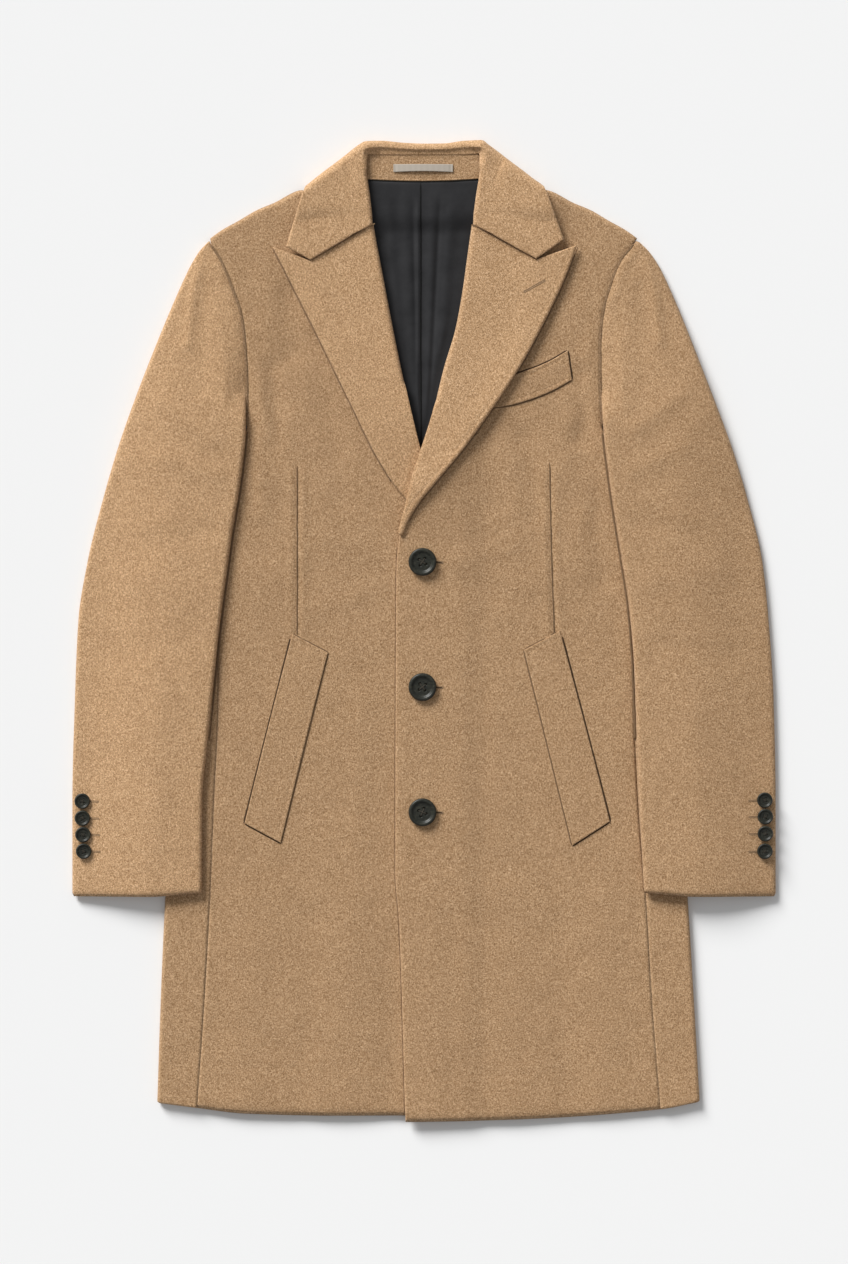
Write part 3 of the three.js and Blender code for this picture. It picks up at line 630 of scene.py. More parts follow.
# Side panels: from the front side seam round the folded edge to the back seam

def side_panel(side):
    ply = 2.8
    sign = SIGN[side]
    radius = BODY_HEIGHT / 2.0
    rows = []
    softs = []
    seams = np.linspace(0.0, 1.0, 14)
    angles = np.linspace(0.0, math.pi, 17)[1:]
    unders = np.linspace(0.0, 1.0, 8)[1:]
    for t in 1.0 - np.linspace(1.0, 0.0, 170) ** 1.25:
        down = lerp(SIDE_START, SIDE_END, t)
        seam = SIDE_SEAM[side](down) + 0.3
        back = BACK_SIDE[side](down) + 0.6
        edge = BODY_EDGE[side](down)
        wide = lerp(seam, edge - radius, seams)
        ripple = 0.35 * swell(wide, down, 34.0, 9.0) * rise(1.0, 0.6, seams) * rise(0.0, 0.3, seams)
        trough = seam_trough(wide - seam, 3.0, 0.6) * rise(700, 640, down)
        top = np.stack([wide, BODY_HEIGHT + ripple + trough], axis=1)
        bend = np.stack([edge - radius + radius * np.sin(angles), radius + radius * np.cos(angles)], axis=1)
        low = np.stack([lerp(edge - radius, back, unders), np.zeros(len(unders))], axis=1)
        line = np.vstack([top, bend, low])
        hem = HEM[side](sign * line[:, 0])
        place_down = lerp(SIDE_START, hem, t)
        rows.append(np.stack([sign * line[:, 0], COAT_TOP - place_down, line[:, 1]], axis=1))
        softs.append(rounded((hem - place_down) / EDGE_ROUND))
    outer = np.array(rows)
    axis = outer.copy()
    axis[..., 0] = outer[..., 0].mean(axis=1, keepdims=True)
    axis[..., 2] = radius
    return shell(f"side_{side}_cloth", outer, ply, np.array(softs), axis)


# Sleeves: an upper and an under ply that meet at the folds

def sleeve_top_relief(side, x, down):
    wide = np.abs(x)
    inner = ARM_LINE[side](down)
    outer = SLEEVE_OUTER[side](down)
    fade = rise(inner + 2.0, inner + 20.0, wide) * rise(outer - 2.0, outer - 16.0, wide)
    seed = 11.0 if side == "left" else 17.0
    return (fold_height("sleeve", x, down) + cloth_swell(x, down, seed)) * fade


def sleeve_ply(side, part):
    sign = SIGN[side]
    upper = part == "top"
    arm_gap = 0.95 if upper else 1.1
    row_count = 214 if upper else 90
    middle_count = 62 if upper else 24
    rows = []
    softs = []
    stations = lerp(SLEEVE_HEAD, CUFF_END, np.linspace(0.0, 1.0, row_count) ** 1.04)
    for base in stations:
        inner = float(ARM_LINE[side](base)) + arm_gap
        outer_edge = float(SLEEVE_OUTER[side](base))
        width = outer_edge - inner
        radius = min(3.9, width * 0.42)
        wide = inner + closing(width, radius, middle_count)
        t = (wide - inner) / width
        low = sleeve_low(side, wide, base)
        high = low + sleeve_depth(side, wide, base)
        half = (low + high) / 2.0
        face = high if upper else low
        meet = half + 0.15 if upper else half - 0.15
        folded = float(rise(240, 290, base))
        seam = high - 0.8 if upper else low
        inner_end = lerp(seam, meet, folded)
        at_inner = lerp(inner_end, face, rounded((wide - inner) / radius))
        slant = 2.0 * float(rise(130, SLEEVE_HEAD, base)) * t
        cuff = lerp(-3.0, 0.5, rise(0.0, 0.4, t)) * float(rise(742, CUFF_END, base))
        down = base + slant + cuff
        if upper:
            at_inner = at_inner + sleeve_top_relief(side, sign * wide, down) + cuff_relief(down)
            at_inner = at_inner + head_ease(wide - inner, down) + sleeve_smooth(side, wide, base)
        z = lerp(meet, at_inner, rounded((outer_edge - wide) / radius))
        rows.append(to_points(sign * wide, down, z))
        softs.append(np.full(len(wide), rounded((CUFF_END - base) / CUFF_ROUND)))
    outer = np.array(rows)
    ply = np.minimum(WALL, 0.16 * (SLEEVE_OUTER[side](stations) - ARM_LINE[side](stations)))
    inside = outer + np.array([0.0, 0.0, -5.0 if upper else 5.0])
    return shell(f"sleeve_{side}_{part}_cloth", outer, ply[:, None, None], np.array(softs), inside)


def cuff_relief(down):
    """The cuff's pressed edge and its stitched hem line."""
    end_gap = CUFF_END - down
    return -PRESSED * bell(end_gap, 4.0) - 0.2 * bell(end_gap - CUFF_WIDTH, 2.5)


def head_ease(gap, down):
    """Fullness eased into the armhole seam, by gap from it: a soft roll with small uneven puckers."""
    fade = rise(292, 262, down) * rise(SLEEVE_HEAD, 116, down)
    roll = 0.7 * bell(gap - 7.0, 5.5)
    pucker = 0.32 * np.sin(down / 4.6 + 1.7 * np.sin(down / 31.0)) * bell(gap, 8.0)
    return (roll + pucker * rise(0.0, 2.0, gap)) * fade


# Lapels: the facing turned back on the front, its roll bent round the front's edge

# rows are (edge x, edge down, roll down) from the peak to the lapel's foot. notch is the share of the width
# at which the gorge dips by dip, and fade is where the full turn opens out.
LAPEL = {
    "right": {
        "rows": ((-151, 107, 84), (-137.5, 133.5, 121), (-112, 184, 172), (-91, 227, 217), (-70, 270, 262),
                 (-50, 311, 306), (-32, 341, 338), (-17.3, 360, 357)),
        "notch": 0.374,
        "dip": 22.2,
        "fade": (226, 252),
    },
    "left": {
        "rows": ((153.2, 104.8, 84), (141, 137.5, 121), (116.8, 188.4, 176), (92.6, 232, 222),
                 (68.4, 268.4, 260), (40, 308, 301), (12, 342, 337), (-5, 363, 359.5), (-16, 381, 378.5),
                 (-21.2, 395, 394)),
        "notch": 0.391,
        "dip": 22.7,
        "fade": (246, 272),
    },
}
BEND_RADIUS = 4.68
LAPEL_ROUND = 1.3
LAPEL_TOP_STATIONS = 1.2
LAPEL_EDGE_STEPS = 18
LAPEL_FLAT_STEPS = 30
OPEN_TURN = 0.35


def lapel_curl(side, station, edge_gap):
    """How the lapel's outer edge stands off the chest: most on the upper lapel, along its long edge."""
    most = 2.3 if side == "left" else 0.5
    reach = float(rise(0.8, 3.6, station)) * float(rise(8.6, 6.0, station))
    return most * reach * bell(edge_gap, 22.0)


def lapel_height(side, station, x, down, edge_gap):
    """The turned ply's top: thin at its free edge, with a pressed line just inside it."""
    edge = 0.7 * rise(3.2, 0.0, edge_gap) + 0.25 * bell(edge_gap - 6.0, 1.6)
    return turned_top(side, x, down) - edge + lapel_curl(side, station, edge_gap)


def lapel(side):
    shape = LAPEL[side]
    keys = range(len(shape["rows"]))
    edge_x = smooth_curve(keys, [row[0] for row in shape["rows"]])
    edge_down = smooth_curve(keys, [row[1] for row in shape["rows"]])
    roll_down = smooth_curve(keys, [row[2] for row in shape["rows"]])
    notch = shape["notch"]
    last = len(shape["rows"]) - 1.0
    upper = np.linspace(0.0, LAPEL_TOP_STATIONS, 34)
    stations = np.concatenate([upper, np.linspace(LAPEL_TOP_STATIONS, last, 122)[1:]])
    rows = []
    softs = []
    for s in stations:
        start = np.array([edge_x(s), edge_down(s)])
        roll = float(roll_down(s))
        end = np.array([FRONT_EDGE[side](roll), roll])
        length = float(np.hypot(*(end - start)))
        way = (end - start) / length
        radius = min(BEND_RADIUS, length * 0.4)
        flat = max(length - radius, notch * length + 0.5)
        keep = float(rise(shape["fade"][1], shape["fade"][0], roll))
        turn = lerp(OPEN_TURN, math.pi, keep)
        flat = flat + radius * (1.0 - math.sin(min(turn, QUARTER_TURN)))
        dip = shape["dip"] * max(0.0, 1.0 - s / LAPEL_TOP_STATIONS)

        def point(distance):
            u = distance / length
            tent = np.where(u < notch, u / notch, (1.0 - u) / (1.0 - notch))
            return start[0] + way[0] * distance, start[1] + way[1] * distance + dip * tent + 0.6

        edge_part = notch * length * (1.0 - np.cos(np.linspace(0.0, QUARTER_TURN, LAPEL_EDGE_STEPS)))
        across = np.concatenate([edge_part, np.linspace(notch * length, flat, LAPEL_FLAT_STEPS)[1:]])
        x, down = point(across)
        line = [to_points(x, down, lapel_height(side, s, x, down, across))]
        centre_x, centre_down = point(flat)
        top_z = float(turned_top(side, centre_x, centre_down))
        angles = turn * np.arange(1, 15) / 14.0
        reach = flat + radius * np.sin(angles)
        x, down = point(reach)
        line.append(to_points(x, down, top_z - BEND_RADIUS * (1.0 - np.cos(angles))))
        low_z = top_z - BEND_RADIUS * (1.0 - math.cos(turn))
        back = 0.6 + 10.0 * float(rise(shape["fade"][0] - 6, shape["fade"][0] - 46, roll))
        parts = np.linspace(0.0, 1.0, 5)[1:]
        reach = flat + radius * math.sin(turn) + math.cos(turn) * back * parts
        x, down = point(reach)
        line.append(to_points(x, down, low_z - math.sin(turn) * back * parts))
        line = np.vstack(line)
        rows.append(line)
        edge_soft = np.ones(len(line))
        edge_soft[:len(across)] = rounded(across / LAPEL_ROUND)
        top_soft = rounded((s * 32.0 + 0.45) / LAPEL_ROUND)
        end_soft = rounded((last - s) * 14.0 / LAPEL_ROUND)
        softs.append(np.minimum(edge_soft, min(top_soft, end_soft)))
    outer = np.array(rows)
    return shell(f"lapel_{side}_cloth", outer, TURNED_PLY, np.array(softs), lapel_inside(outer))


def lapel_inside(outer):
    """Points below and outward of the ply, on the side towards the front that it turns round."""
    inside = outer.copy()
    before_roll = LAPEL_EDGE_STEPS + LAPEL_FLAT_STEPS * 3 // 4
    middle = outer[:, before_roll:before_roll + 1, :]
    inside[..., :2] = middle[..., :2]
    inside[..., 2] = middle[..., 2] - BEND_RADIUS
    return inside


# Collar: leaves on the fronts, roll round the neck, fall behind it

COLLAR_COLUMNS = ("x", "down", "ridge_x", "ridge_down", "end_x", "end_down", "lip")
COLLAR_SECTIONS = (
    (-137.6, 107, -119.4, 47, -114, 53, 0),
    (-125.5, 113.8, -114.5, 43, -107, 54.5, 0),
    (-113.4, 120.6, -109, 38.5, -99, 56, 0),
    (-92.4, 108.1, -99, 30.6, -88, 57, 0),
    (-71.4, 95.5, -89, 23.2, -78, 58, 0),
    (-51.2, 85.6, -81, 17, -69, 58.5, 0.9),
    (-51.8, 74, -76, 13, -63, 59, 1),
    (-53.8, 56, -70.5, 8.6, -57, 59.3, 1),
    (-57.2, 34, -65, 4.6, -51, 59.6, 1),
    (-56, 15.2, -58, 1.2, -45, 59.8, 0.1),
    (-42, 15.2, -42, 0.6, -34, 60, 0),
    (-20, 15.2, -20, 2.6, -17, 60, 0),
    (0, 15.2, 0, 3.4, 0, 60, 0),
    (20, 15.2, 20, 3.2, 17, 60, 0),
    (40, 15.2, 40, 0.6, 34, 60, 0),
    (55, 14.2, 57, 0, 45, 59.8, 0.1),
    (55.4, 34, 64.5, 4.6, 51, 59.6, 1),
    (51.8, 56, 70, 8.6, 57, 59.3, 1),
    (49.4, 74, 76, 13, 63, 59, 1),
    (48.8, 85.6, 81, 17, 69, 58.5, 0.9),
    (69, 95.5, 89, 23.2, 78, 58, 0),
    (90, 107.3, 99, 30.6, 88, 57, 0),
    (112, 119.4, 109, 38.5, 99, 56, 0),
    (125.5, 110, 115.5, 43, 107, 54.5, 0),
    (139.4, 100, 120.6, 47, 114, 53, 0),
)


def collar_top(x, down):
    stand = rise(62, 52, np.abs(x)) * rise(30, 16, down)
    low_down = np.maximum(down, 58.0)
    height = np.where(x < 0, front_height("right", x, low_down), front_height("left", x, low_down))
    loft_down = np.maximum(down, 84.0)
    loft = np.where(x < 0, lapel_loft("right", x, loft_down), lapel_loft("left", x, loft_down))
    leaf = height + CLEAR + COLLAR_PLY + loft
    stand_top = lerp(STAND_TOP, STAND_FOOT, rise(2, 15, down))
    return lerp(np.maximum(leaf, LEAF_TOP) + 0.2, stand_top, stand)


def section_curves(count):
    """The collar's sections drawn finer: linear at the pointed ends, smooth between."""
    steps = np.arange(len(COLLAR_SECTIONS))
    fine = np.linspace(0.0, len(COLLAR_SECTIONS) - 1.0, count)
    corners = np.array([2.0, 22.0])
    fine = np.unique(np.concatenate([fine, corners]))
    return fine, {
        name: np.interp(fine, steps, [row[i] for row in COLLAR_SECTIONS]) if name in ("x", "down", "lip")
        else smooth_curve(steps, [row[i] for row in COLLAR_SECTIONS])(fine)
        for i, name in enumerate(COLLAR_COLUMNS)
    }


def collar():
    lip_radius = 4.5
    leaf_round = 1.6
    fine, curve = section_curves(150)
    lips = np.linspace(1.75, 0.0, 9)[:-1]
    flats = np.linspace(0.0, 1.0, 42)
    wraps = math.pi * np.arange(1, 19) / 18.0
    rows = []
    softs = []
    for i, station in enumerate(fine):
        start = np.array([curve["x"][i], curve["down"][i]])
        ridge = np.array([curve["ridge_x"][i], curve["ridge_down"][i]])
        end = np.array([curve["end_x"][i], curve["end_down"][i]])
        lip = curve["lip"][i]
        inward = 1.0 if start[0] < 0 else -1.0
        top_length = np.hypot(*(ridge - start))
        back_length = np.hypot(*(end - ridge))
        back_way = (end - ridge) / back_length
        probe = start + (ridge - start) * 0.8
        leaf_z = float(collar_top(probe[0], probe[1])) if abs(start[0]) > 60 else 16.8
        ridge_z = lerp(RIDGE_TOP, max(16.4, leaf_z), float(rise(40.0, 57.0, abs(start[0]))))
        radius = ridge_z / 2.0
        start_z = float(collar_top(start[0], start[1]))
        sideways = inward * lip_radius * (np.sin(np.minimum(lips, 1.57)) - 1.0) * lip
        drop = lip_radius * (1.0 - np.cos(lips)) * lip
        slide = 0.2 * (1.75 - lips) / 0.6 * (1.0 - lip)
        lip_line = to_points(start[0] + sideways, start[1] - slide, start_z - drop)
        inset = np.array([start[0] - inward * lip_radius * lip, start[1] - 0.6 * (1.0 - lip)])
        flat_end = max(0.2, 1.0 - radius / top_length)
        reach = flats * flat_end
        x = lerp(inset[0], ridge[0], reach)
        down = lerp(inset[1], ridge[1], reach)
        blend = rise(0.55, 1.0, flats)
        relief = 0.45 * cloth_swell(x, down, 21.0) * rise(0.0, 0.2, flats) * rise(62, 74, np.abs(x))
        flat_line = to_points(x, down, lerp(collar_top(x, down), ridge_z, blend) + relief)
        bend = lerp(inset, ridge, flat_end)
        back = ridge + back_way * min(radius, back_length * 0.5)
        turn = np.sin(wraps)
        base = np.where((wraps < QUARTER_TURN)[:, None], bend, back)
        wrap_plan = lerp(base, ridge, turn[:, None])
        wrap_line = to_points(wrap_plan[:, 0], wrap_plan[:, 1], radius + radius * np.cos(wraps))
        tail = np.linspace(0.0, 1.0, 18)[1:]
        tail_line = to_points(lerp(back[0], end[0], tail), lerp(back[1], end[1], tail), np.zeros(len(tail)))
        line = np.vstack([lip_line, flat_line, wrap_line, tail_line])
        rows.append(line)
        along = np.concatenate([[0.0], np.cumsum(np.linalg.norm(np.diff(line, axis=0), axis=1))])
        end_gap = min(station, len(COLLAR_SECTIONS) - 1.0 - station) * 13.0
        end_soft = float(rounded((end_gap + 0.25) / leaf_round))
        softs.append(np.minimum(rounded((along + 0.2) / leaf_round), end_soft))
    outer = np.array(rows)
    inside = outer.copy()
    wrap_middle = len(lips) + len(flats) + len(wraps) // 2 - 1
    inside[..., :2] = outer[:, wrap_middle:wrap_middle + 1, :2]
    inside[..., 2] = COLLAR_CENTRE
    return shell("collar_cloth", outer, COLLAR_PLY, np.array(softs), inside)


# Inside the neck

def laid_strip(name, x, down, top, thickness, edge):
    """A flat strip on a panel: top height grid, softened rim of the given radius."""
    gaps_x = np.minimum(x - x[:, :1], x[:, -1:] - x)
    gaps_down = np.minimum(np.abs(down - down[:1, :]), np.abs(down[-1:, :] - down))
    soften = rounded((np.minimum(np.abs(gaps_x), gaps_down) + 0.02) / edge)
    outer = to_points(x, down, top)
    return shell(name, outer, thickness, soften, outer - np.array([0.0, 0.0, 5.0]))


def neck_facing():
    u, v = np.meshgrid(np.linspace(0.0, 1.0, 60), closing(1.0, 0.06, 16))
    x = lerp(-60.5, 58.5, u)
    down = lerp(13.8, lerp(39.1, 38.6, u) + 2.2 * np.sin(math.pi * u), v)
    stitch = 0.4 * bell(v - 0.94, 0.03)
    top = back_top(x, down) + 2.7 + 0.12 * swell(x, down, 16.0, 31.0) - stitch
    return laid_strip("neck_facing_cloth", x, down, top, FACING_PLY, 1.0)


# Folds of the lining, as (x, lean, width, height)
LINING_FOLDS = (
    (-6.0, 0.0, 2.4, 1.5),
    (9.0, -0.02, 5.0, 1.3),
    (-20.0, 0.05, 6.0, 1.1),
    (30.0, -0.08, 6.0, 1.2),
    (-38.0, 0.08, 5.0, 0.7),
    (17.0, -0.05, 2.4, -0.8),
    (-12.0, 0.03, 2.6, -0.6),
)


def lining_height(x, down):
    height = back_top(x, down) + 0.45 + LINING_PLY
    room = np.minimum(x - FRONT_EDGE["right"](down), FRONT_EDGE["left"](down) - x)
    for fold_x, lean, width, lift in LINING_FOLDS:
        gap = x - fold_x - lean * (down - 40.0)
        height = height + lift * bell(gap, width) * rise(2, 12, room) * rise(46, 90, down)
    return height + 0.16 * swell(x, down, 15.0, 41.0) * rise(2, 12, room)


def back_lining():
    margin = 13.0
    u, v = np.meshgrid(np.linspace(0.0, 1.0, 118), np.linspace(0.0, 1.0, 120))
    start = lerp(39.4, 38.9, u) + 2.2 * np.sin(math.pi * u)
    down = lerp(start, 334.0, v)
    low = FRONT_EDGE["right"](np.minimum(down, 300.0)) - margin
    high = FRONT_EDGE["left"](np.minimum(down, 300.0)) + margin
    x = lerp(low, high, u)
    return laid_strip("lining_cloth", x, down, lining_height(x, down), LINING_PLY, 0.5)


def hanger_loop():
    u, v = np.meshgrid(closing(1.0, 0.02, 60), closing(1.0, 0.14, 8))
    x = lerp(-30.6, 29.0, u)
    down = lerp(24.5, 32.4, v) - 0.8 * np.sin(math.pi * u) * v
    tack = bell(u - 0.04, 0.02) + bell(u - 0.96, 0.02)
    top = back_top(x, down) + 4.1 + 1.2 * np.sin(math.pi * u) - 0.35 * tack
    return laid_strip("loop_ribbon_cloth", x, down, top, RIBBON_THICK, 0.5)


# Welts

CHEST_TOP = table(("x", "down"), ((84, 237.5), (93.8, 233.5), (113, 226.8), (128.3, 219.7), (143.6, 210.6)))
CHEST_LOW = table(("x", "down"), ((64, 268), (84.3, 265.6), (108.2, 258.9), (128.3, 250.7), (147.9, 239.7)))


def welt_surface(name, side, x, down, gap):
    """A welt with rounded edges and a sunk line of stitching just inside them."""
    stitch = -0.35 * bell(gap - 4.6, 0.9)
    top = front_top(side, x, down) + 0.2 + WELT_SHOWN + stitch * rise(0, 2, gap)
    outer = to_points(x, down, top)
    return shell(name, outer, WELT_SHOWN, rounded((gap + 0.02) / 1.1), outer - np.array([0.0, 0.0, 5.0]))


def chest_welt():
    u, v = np.meshgrid(closing(1.0, 0.014, 60), closing(1.0, 0.035, 28))
    up_x = lerp(84.0, 143.6, u)
    low_x = lerp(66.0, 147.9, u)
    x = lerp(up_x, low_x, v)
    down = lerp(CHEST_TOP["down"](up_x), CHEST_LOW["down"](low_x), v)
    gap = np.minimum(np.minimum(u, 1.0 - u) * 78.0, np.minimum(v, 1.0 - v) * 30.0)
    return welt_surface("chest_welt_cloth", "left", x, down, gap)


WELT_BOW = 0.48


def hip_welt(side, corners):
    a, b, c, d = (np.array(corner, dtype=float) for corner in corners)
    width = np.hypot(*(b - a))
    height = np.hypot(*(d - a))
    u, v = np.meshgrid(closing(1.0, 1.1 / width, 26), closing(1.0, 1.1 / height, 110))
    x = lerp(lerp(a[0], b[0], u), lerp(d[0], c[0], u), v)
    down = lerp(lerp(a[1], b[1], u), lerp(d[1], c[1], u), v)
    x = x + SIGN[side] * WELT_BOW * np.sin(math.pi * v)
    gap = np.minimum(np.minimum(u, 1.0 - u) * width, np.minimum(v, 1.0 - v) * height)
    return welt_surface(f"pocket_welt_{side}_cloth", side, x, down, gap)


HIP_CORNERS = {
    "right": ((-131.7, 494), (-96, 512.7), (-143.3, 702.9), (-179.4, 683.2)),
    "left": ((100, 510), (135.8, 490.7), (185.8, 681.4), (148.3, 705.5)),
}


# Buttons: turned discs with a raised rim, a sunk middle with four holes, and a short shank below

HOLE_OFF = 0.21
HOLE_SIZE = 0.085
HOLE_CORNER = 1.41
BUTTON_MIDDLE = 0.56
SHANK = 0.88


def button(name, x, down, seat, diameter, thickness, turn):
    radius = diameter / 2.0
    hole_reach = radius * HOLE_OFF * HOLE_CORNER
    hole_radius = radius * HOLE_SIZE
    profile = smooth_curve((0, 0.3, 0.6, 0.68, 0.76, 0.84, 0.9, 0.95, 0.985, 1.0),
                           (BUTTON_MIDDLE, 0.55, 0.55, 0.66, 0.9, 1.0, 0.98, 0.88, 0.7, 0.5))
    radial, around = (44, 112) if diameter > 20 else (30, 72)
    ring = np.linspace(0.0, 2.0 * math.pi, around + 1)
    r, angle = np.meshgrid(np.linspace(0.02, 1.0, radial), ring, indexing="ij")
    px = r * radius * np.cos(angle)
    py = r * radius * np.sin(angle)
    z = thickness * profile(r)
    for k in range(4):
        spin = turn + math.pi / 4.0 + k * QUARTER_TURN
        gap = np.hypot(px - hole_reach * math.cos(spin), py - hole_reach * math.sin(spin))
        z = z - 0.42 * thickness * rise(hole_radius * 1.35, hole_radius * 0.75, gap)
    top = np.stack([px + x, py + COAT_TOP - down, z + seat], axis=-1)
    low_r = np.array([1.0, 0.97, 0.86, 0.4, 0.165, 0.16, 0.16])
    low_z = np.array([0.45 * thickness, 0.2 * thickness, 0.1, 0.0, 0.0, -0.3, -SHANK])
    low = np.stack([
        low_r[:, None] * radius * np.cos(ring) + x,
        low_r[:, None] * radius * np.sin(ring) + COAT_TOP - down,
        low_z[:, None] * np.ones(around + 1) + seat,
    ], axis=-1)
    centre_top = to_points(np.full((1, around + 1), x), down, seat + thickness * BUTTON_MIDDLE)
    centre_low = centre_top.copy()
    centre_low[..., 2] = seat - SHANK
    return grid_mesh(name, np.concatenate([centre_top, top, low, centre_low], axis=0))


def thread_cross(name, x, down, seat, diameter, thickness, turn):
    """Two bars of thread over a button's middle, from hole to hole."""
    reach = diameter / 2.0 * HOLE_OFF * HOLE_CORNER
    base = seat + thickness * 0.5
    parts = []
    for k in range(2):
        spin = turn + math.pi / 4.0 + k * QUARTER_TURN
        t = np.linspace(-1.0, 1.0, 15)
        arch = (0.5 + 0.16 * k) * np.sqrt(np.clip(1.0 - t ** 4, 0.0, 1.0)) - 0.2
        path = to_points(x + reach * t * math.cos(spin), down - reach * t * math.sin(spin), base + arch)
        parts.append(tube(path, diameter * 0.021))
    return join_grids(name, parts)


def tube(path, radius, around=8):
    """A closed tube along a path of points, as a grid of rings with its ends drawn in."""
    along = np.gradient(path, axis=0)
    along = along / np.linalg.norm(along, axis=1, keepdims=True)
    up = np.array([0.0, 0.0, 1.0])
    side = np.cross(along, up)
    side = side / np.maximum(np.linalg.norm(side, axis=1, keepdims=True), 1e-6)
    top = np.cross(side, along)
    angle = np.linspace(0.0, 2.0 * math.pi, around + 1)
    rings = path[:, None, :] + radius * (
        side[:, None, :] * np.cos(angle)[None, :, None] + top[:, None, :] * np.sin(angle)[None, :, None])
    first_cap = np.repeat(path[:1, None, :], around + 1, axis=1)
    last_cap = np.repeat(path[-1:, None, :], around + 1, axis=1)
    return np.concatenate([first_cap, rings, last_cap], axis=0)


def join_grids(name, grids):
    pieces = [grid_mesh(f"{name}_{i}", grid) for i, grid in enumerate(grids)]
    work = bmesh.new()
    for piece in pieces:
        work.from_mesh(piece.data)
    for piece in pieces:
        mesh = piece.data
        bpy.data.objects.remove(piece)
        bpy.data.meshes.remove(mesh)
    mesh = bpy.data.meshes.new(name)
    work.to_mesh(mesh)
    work.free()
    joined = bpy.data.objects.new(name, mesh)
    bpy.context.scene.collection.objects.link(joined)
    return joined


def buttonhole(name, start, end, height, width=3.2):
    """A worked buttonhole: two ribbed ridges of thread beside a slit. height gives the cloth's top."""
    start = np.array(start, dtype=float)
    end = np.array(end, dtype=float)
    length = np.hypot(*(end - start))
    way = (end - start) / length
    cross = np.array([way[1], -way[0]])
    u, v = np.meshgrid(np.linspace(0.0, 1.0, max(40, int(length * 5))), np.linspace(-1.0, 1.0, 11))
    distance = u * length
    end_gap = np.minimum(distance, length - distance)
    taper = rounded((end_gap + 0.05) / (width / 2.0))
    off = v * width / 2.0 * taper
    x = start[0] + way[0] * distance + cross[0] * off
    down = start[1] + way[1] * distance + cross[1] * off
    ridge = bell(np.abs(v) - 0.58, 0.3)
    slit = bell(v, 0.16) * rise(width * 0.4, width * 0.9, end_gap)
    rib = 0.07 * np.sin(distance * 2.0 * math.pi / 0.85) * ridge
    z = height(x, down) + 0.42 * ridge + rib - 0.4 * slit + 0.04
    outer = to_points(x, down, z)
    rim = rounded((1.0 - np.abs(v)) / 0.25)
    outer[..., 2] = outer[..., 2] - 0.3 * (1.0 - rim)
    inner = outer.copy()
    inner[..., 2] = height(x, down) - 0.5
    return grid_mesh(name, outer, inner)


# Seam lines: thin strips that follow the cloth, most of them painted shade

def seam_line(name, path, width, height, lift=0.12, count=90):
    """A strip along a smooth path of (x, down) points. height gives the cloth's top there."""
    path = np.array(path, dtype=float)
    key = np.concatenate([[0.0], np.cumsum(np.hypot(*np.diff(path, axis=0).T))])
    along = np.linspace(0.0, key[-1], count)
    x = smooth_curve(key, path[:, 0])(along)
    down = smooth_curve(key, path[:, 1])(along)
    way_x = np.gradient(x, along)
    way_down = np.gradient(down, along)
    across = np.linspace(-1.0, 1.0, 7)
    taper = np.clip(np.minimum(along, key[-1] - along) / (2.5 * width) + 0.3, 0.0, 1.0)
    wander = 0.12 * swell(x, down, 7.0, 51.0)
    half = (width / 2.0 * taper)[:, None] * across[None, :] + wander[:, None]
    px = x[:, None] - way_down[:, None] * half
    pd = down[:, None] + way_x[:, None] * half
    z = height(px, pd) + lift * (1.0 - across ** 2)[None, :]
    outer = to_points(px, pd, z)
    return grid_mesh(name, outer, outer - np.array([0.0, 0.0, 0.5]))


# Materials, all procedural and in object space

def shader(name):
    material = bpy.data.materials.new(name)
    material.use_nodes = True
    nodes = material.node_tree.nodes
    return material, nodes, material.node_tree.links, nodes["Principled BSDF"]


def set_inputs(node, **values):
    for key, value in values.items():
        node.inputs[key.replace("_", " ")].default_value = value


def noise(nodes, links, coords, scale, detail=3.0, roughness=0.6, distortion=0.0):
    node = nodes.new("ShaderNodeTexNoise")
    set_inputs(node, Scale=scale, Detail=detail, Roughness=roughness, Distortion=distortion)
    links.new(coords, node.inputs["Vector"])
    return node.outputs["Fac"]


def mapped(nodes, links, scale=(1.0, 1.0, 1.0), spin=0.0):
    coords = nodes.new("ShaderNodeTexCoord")
    mapping = nodes.new("ShaderNodeMapping")
    mapping.inputs["Scale"].default_value = scale
    mapping.inputs["Rotation"].default_value = (0.0, 0.0, spin)
    links.new(coords.outputs["Object"], mapping.inputs["Vector"])
    return mapping.outputs["Vector"]


def ramp(nodes, links, fac, stops):
    node = nodes.new("ShaderNodeValToRGB")
    while len(node.color_ramp.elements) < len(stops):
        node.color_ramp.elements.new(0.5)
    for element, (place, colour) in zip(node.color_ramp.elements, stops):
        element.position = place
        element.color = (*colour, 1.0)
    links.new(fac, node.inputs["Fac"])
    return node.outputs["Color"]


def mixed(nodes, links, fac, first, second, blend="MIX"):
    node = nodes.new("ShaderNodeMix")
    node.data_type = "RGBA"
    node.blend_type = blend
    node.inputs["Factor"].default_value = fac
    links.new(first, node.inputs["A"])
    links.new(second, node.inputs["B"])
    return node.outputs["Result"]


def summed(nodes, links, parts):
    """Adds heights: a list of (socket, weight)."""
    total = None
    for socket, weight in parts:
        node = nodes.new("ShaderNodeMath")
        node.operation = "MULTIPLY_ADD"
        links.new(socket, node.inputs[0])
        node.inputs[1].default_value = weight
        if total is None:
            node.inputs[2].default_value = 0.0
        else:
            links.new(total, node.inputs[2])
        total = node.outputs[0]
    return total


def bump(nodes, links, height, strength, distance, target):
    node = nodes.new("ShaderNodeBump")
    set_inputs(node, Strength=strength, Distance=distance)
    links.new(height, node.inputs["Height"])
    links.new(node.outputs["Normal"], target.inputs["Normal"])


MELTON_DARK = (0.232, 0.127, 0.056)
MELTON_BASE = (0.441, 0.266, 0.134)
MELTON_PALE = (0.722, 0.488, 0.297)


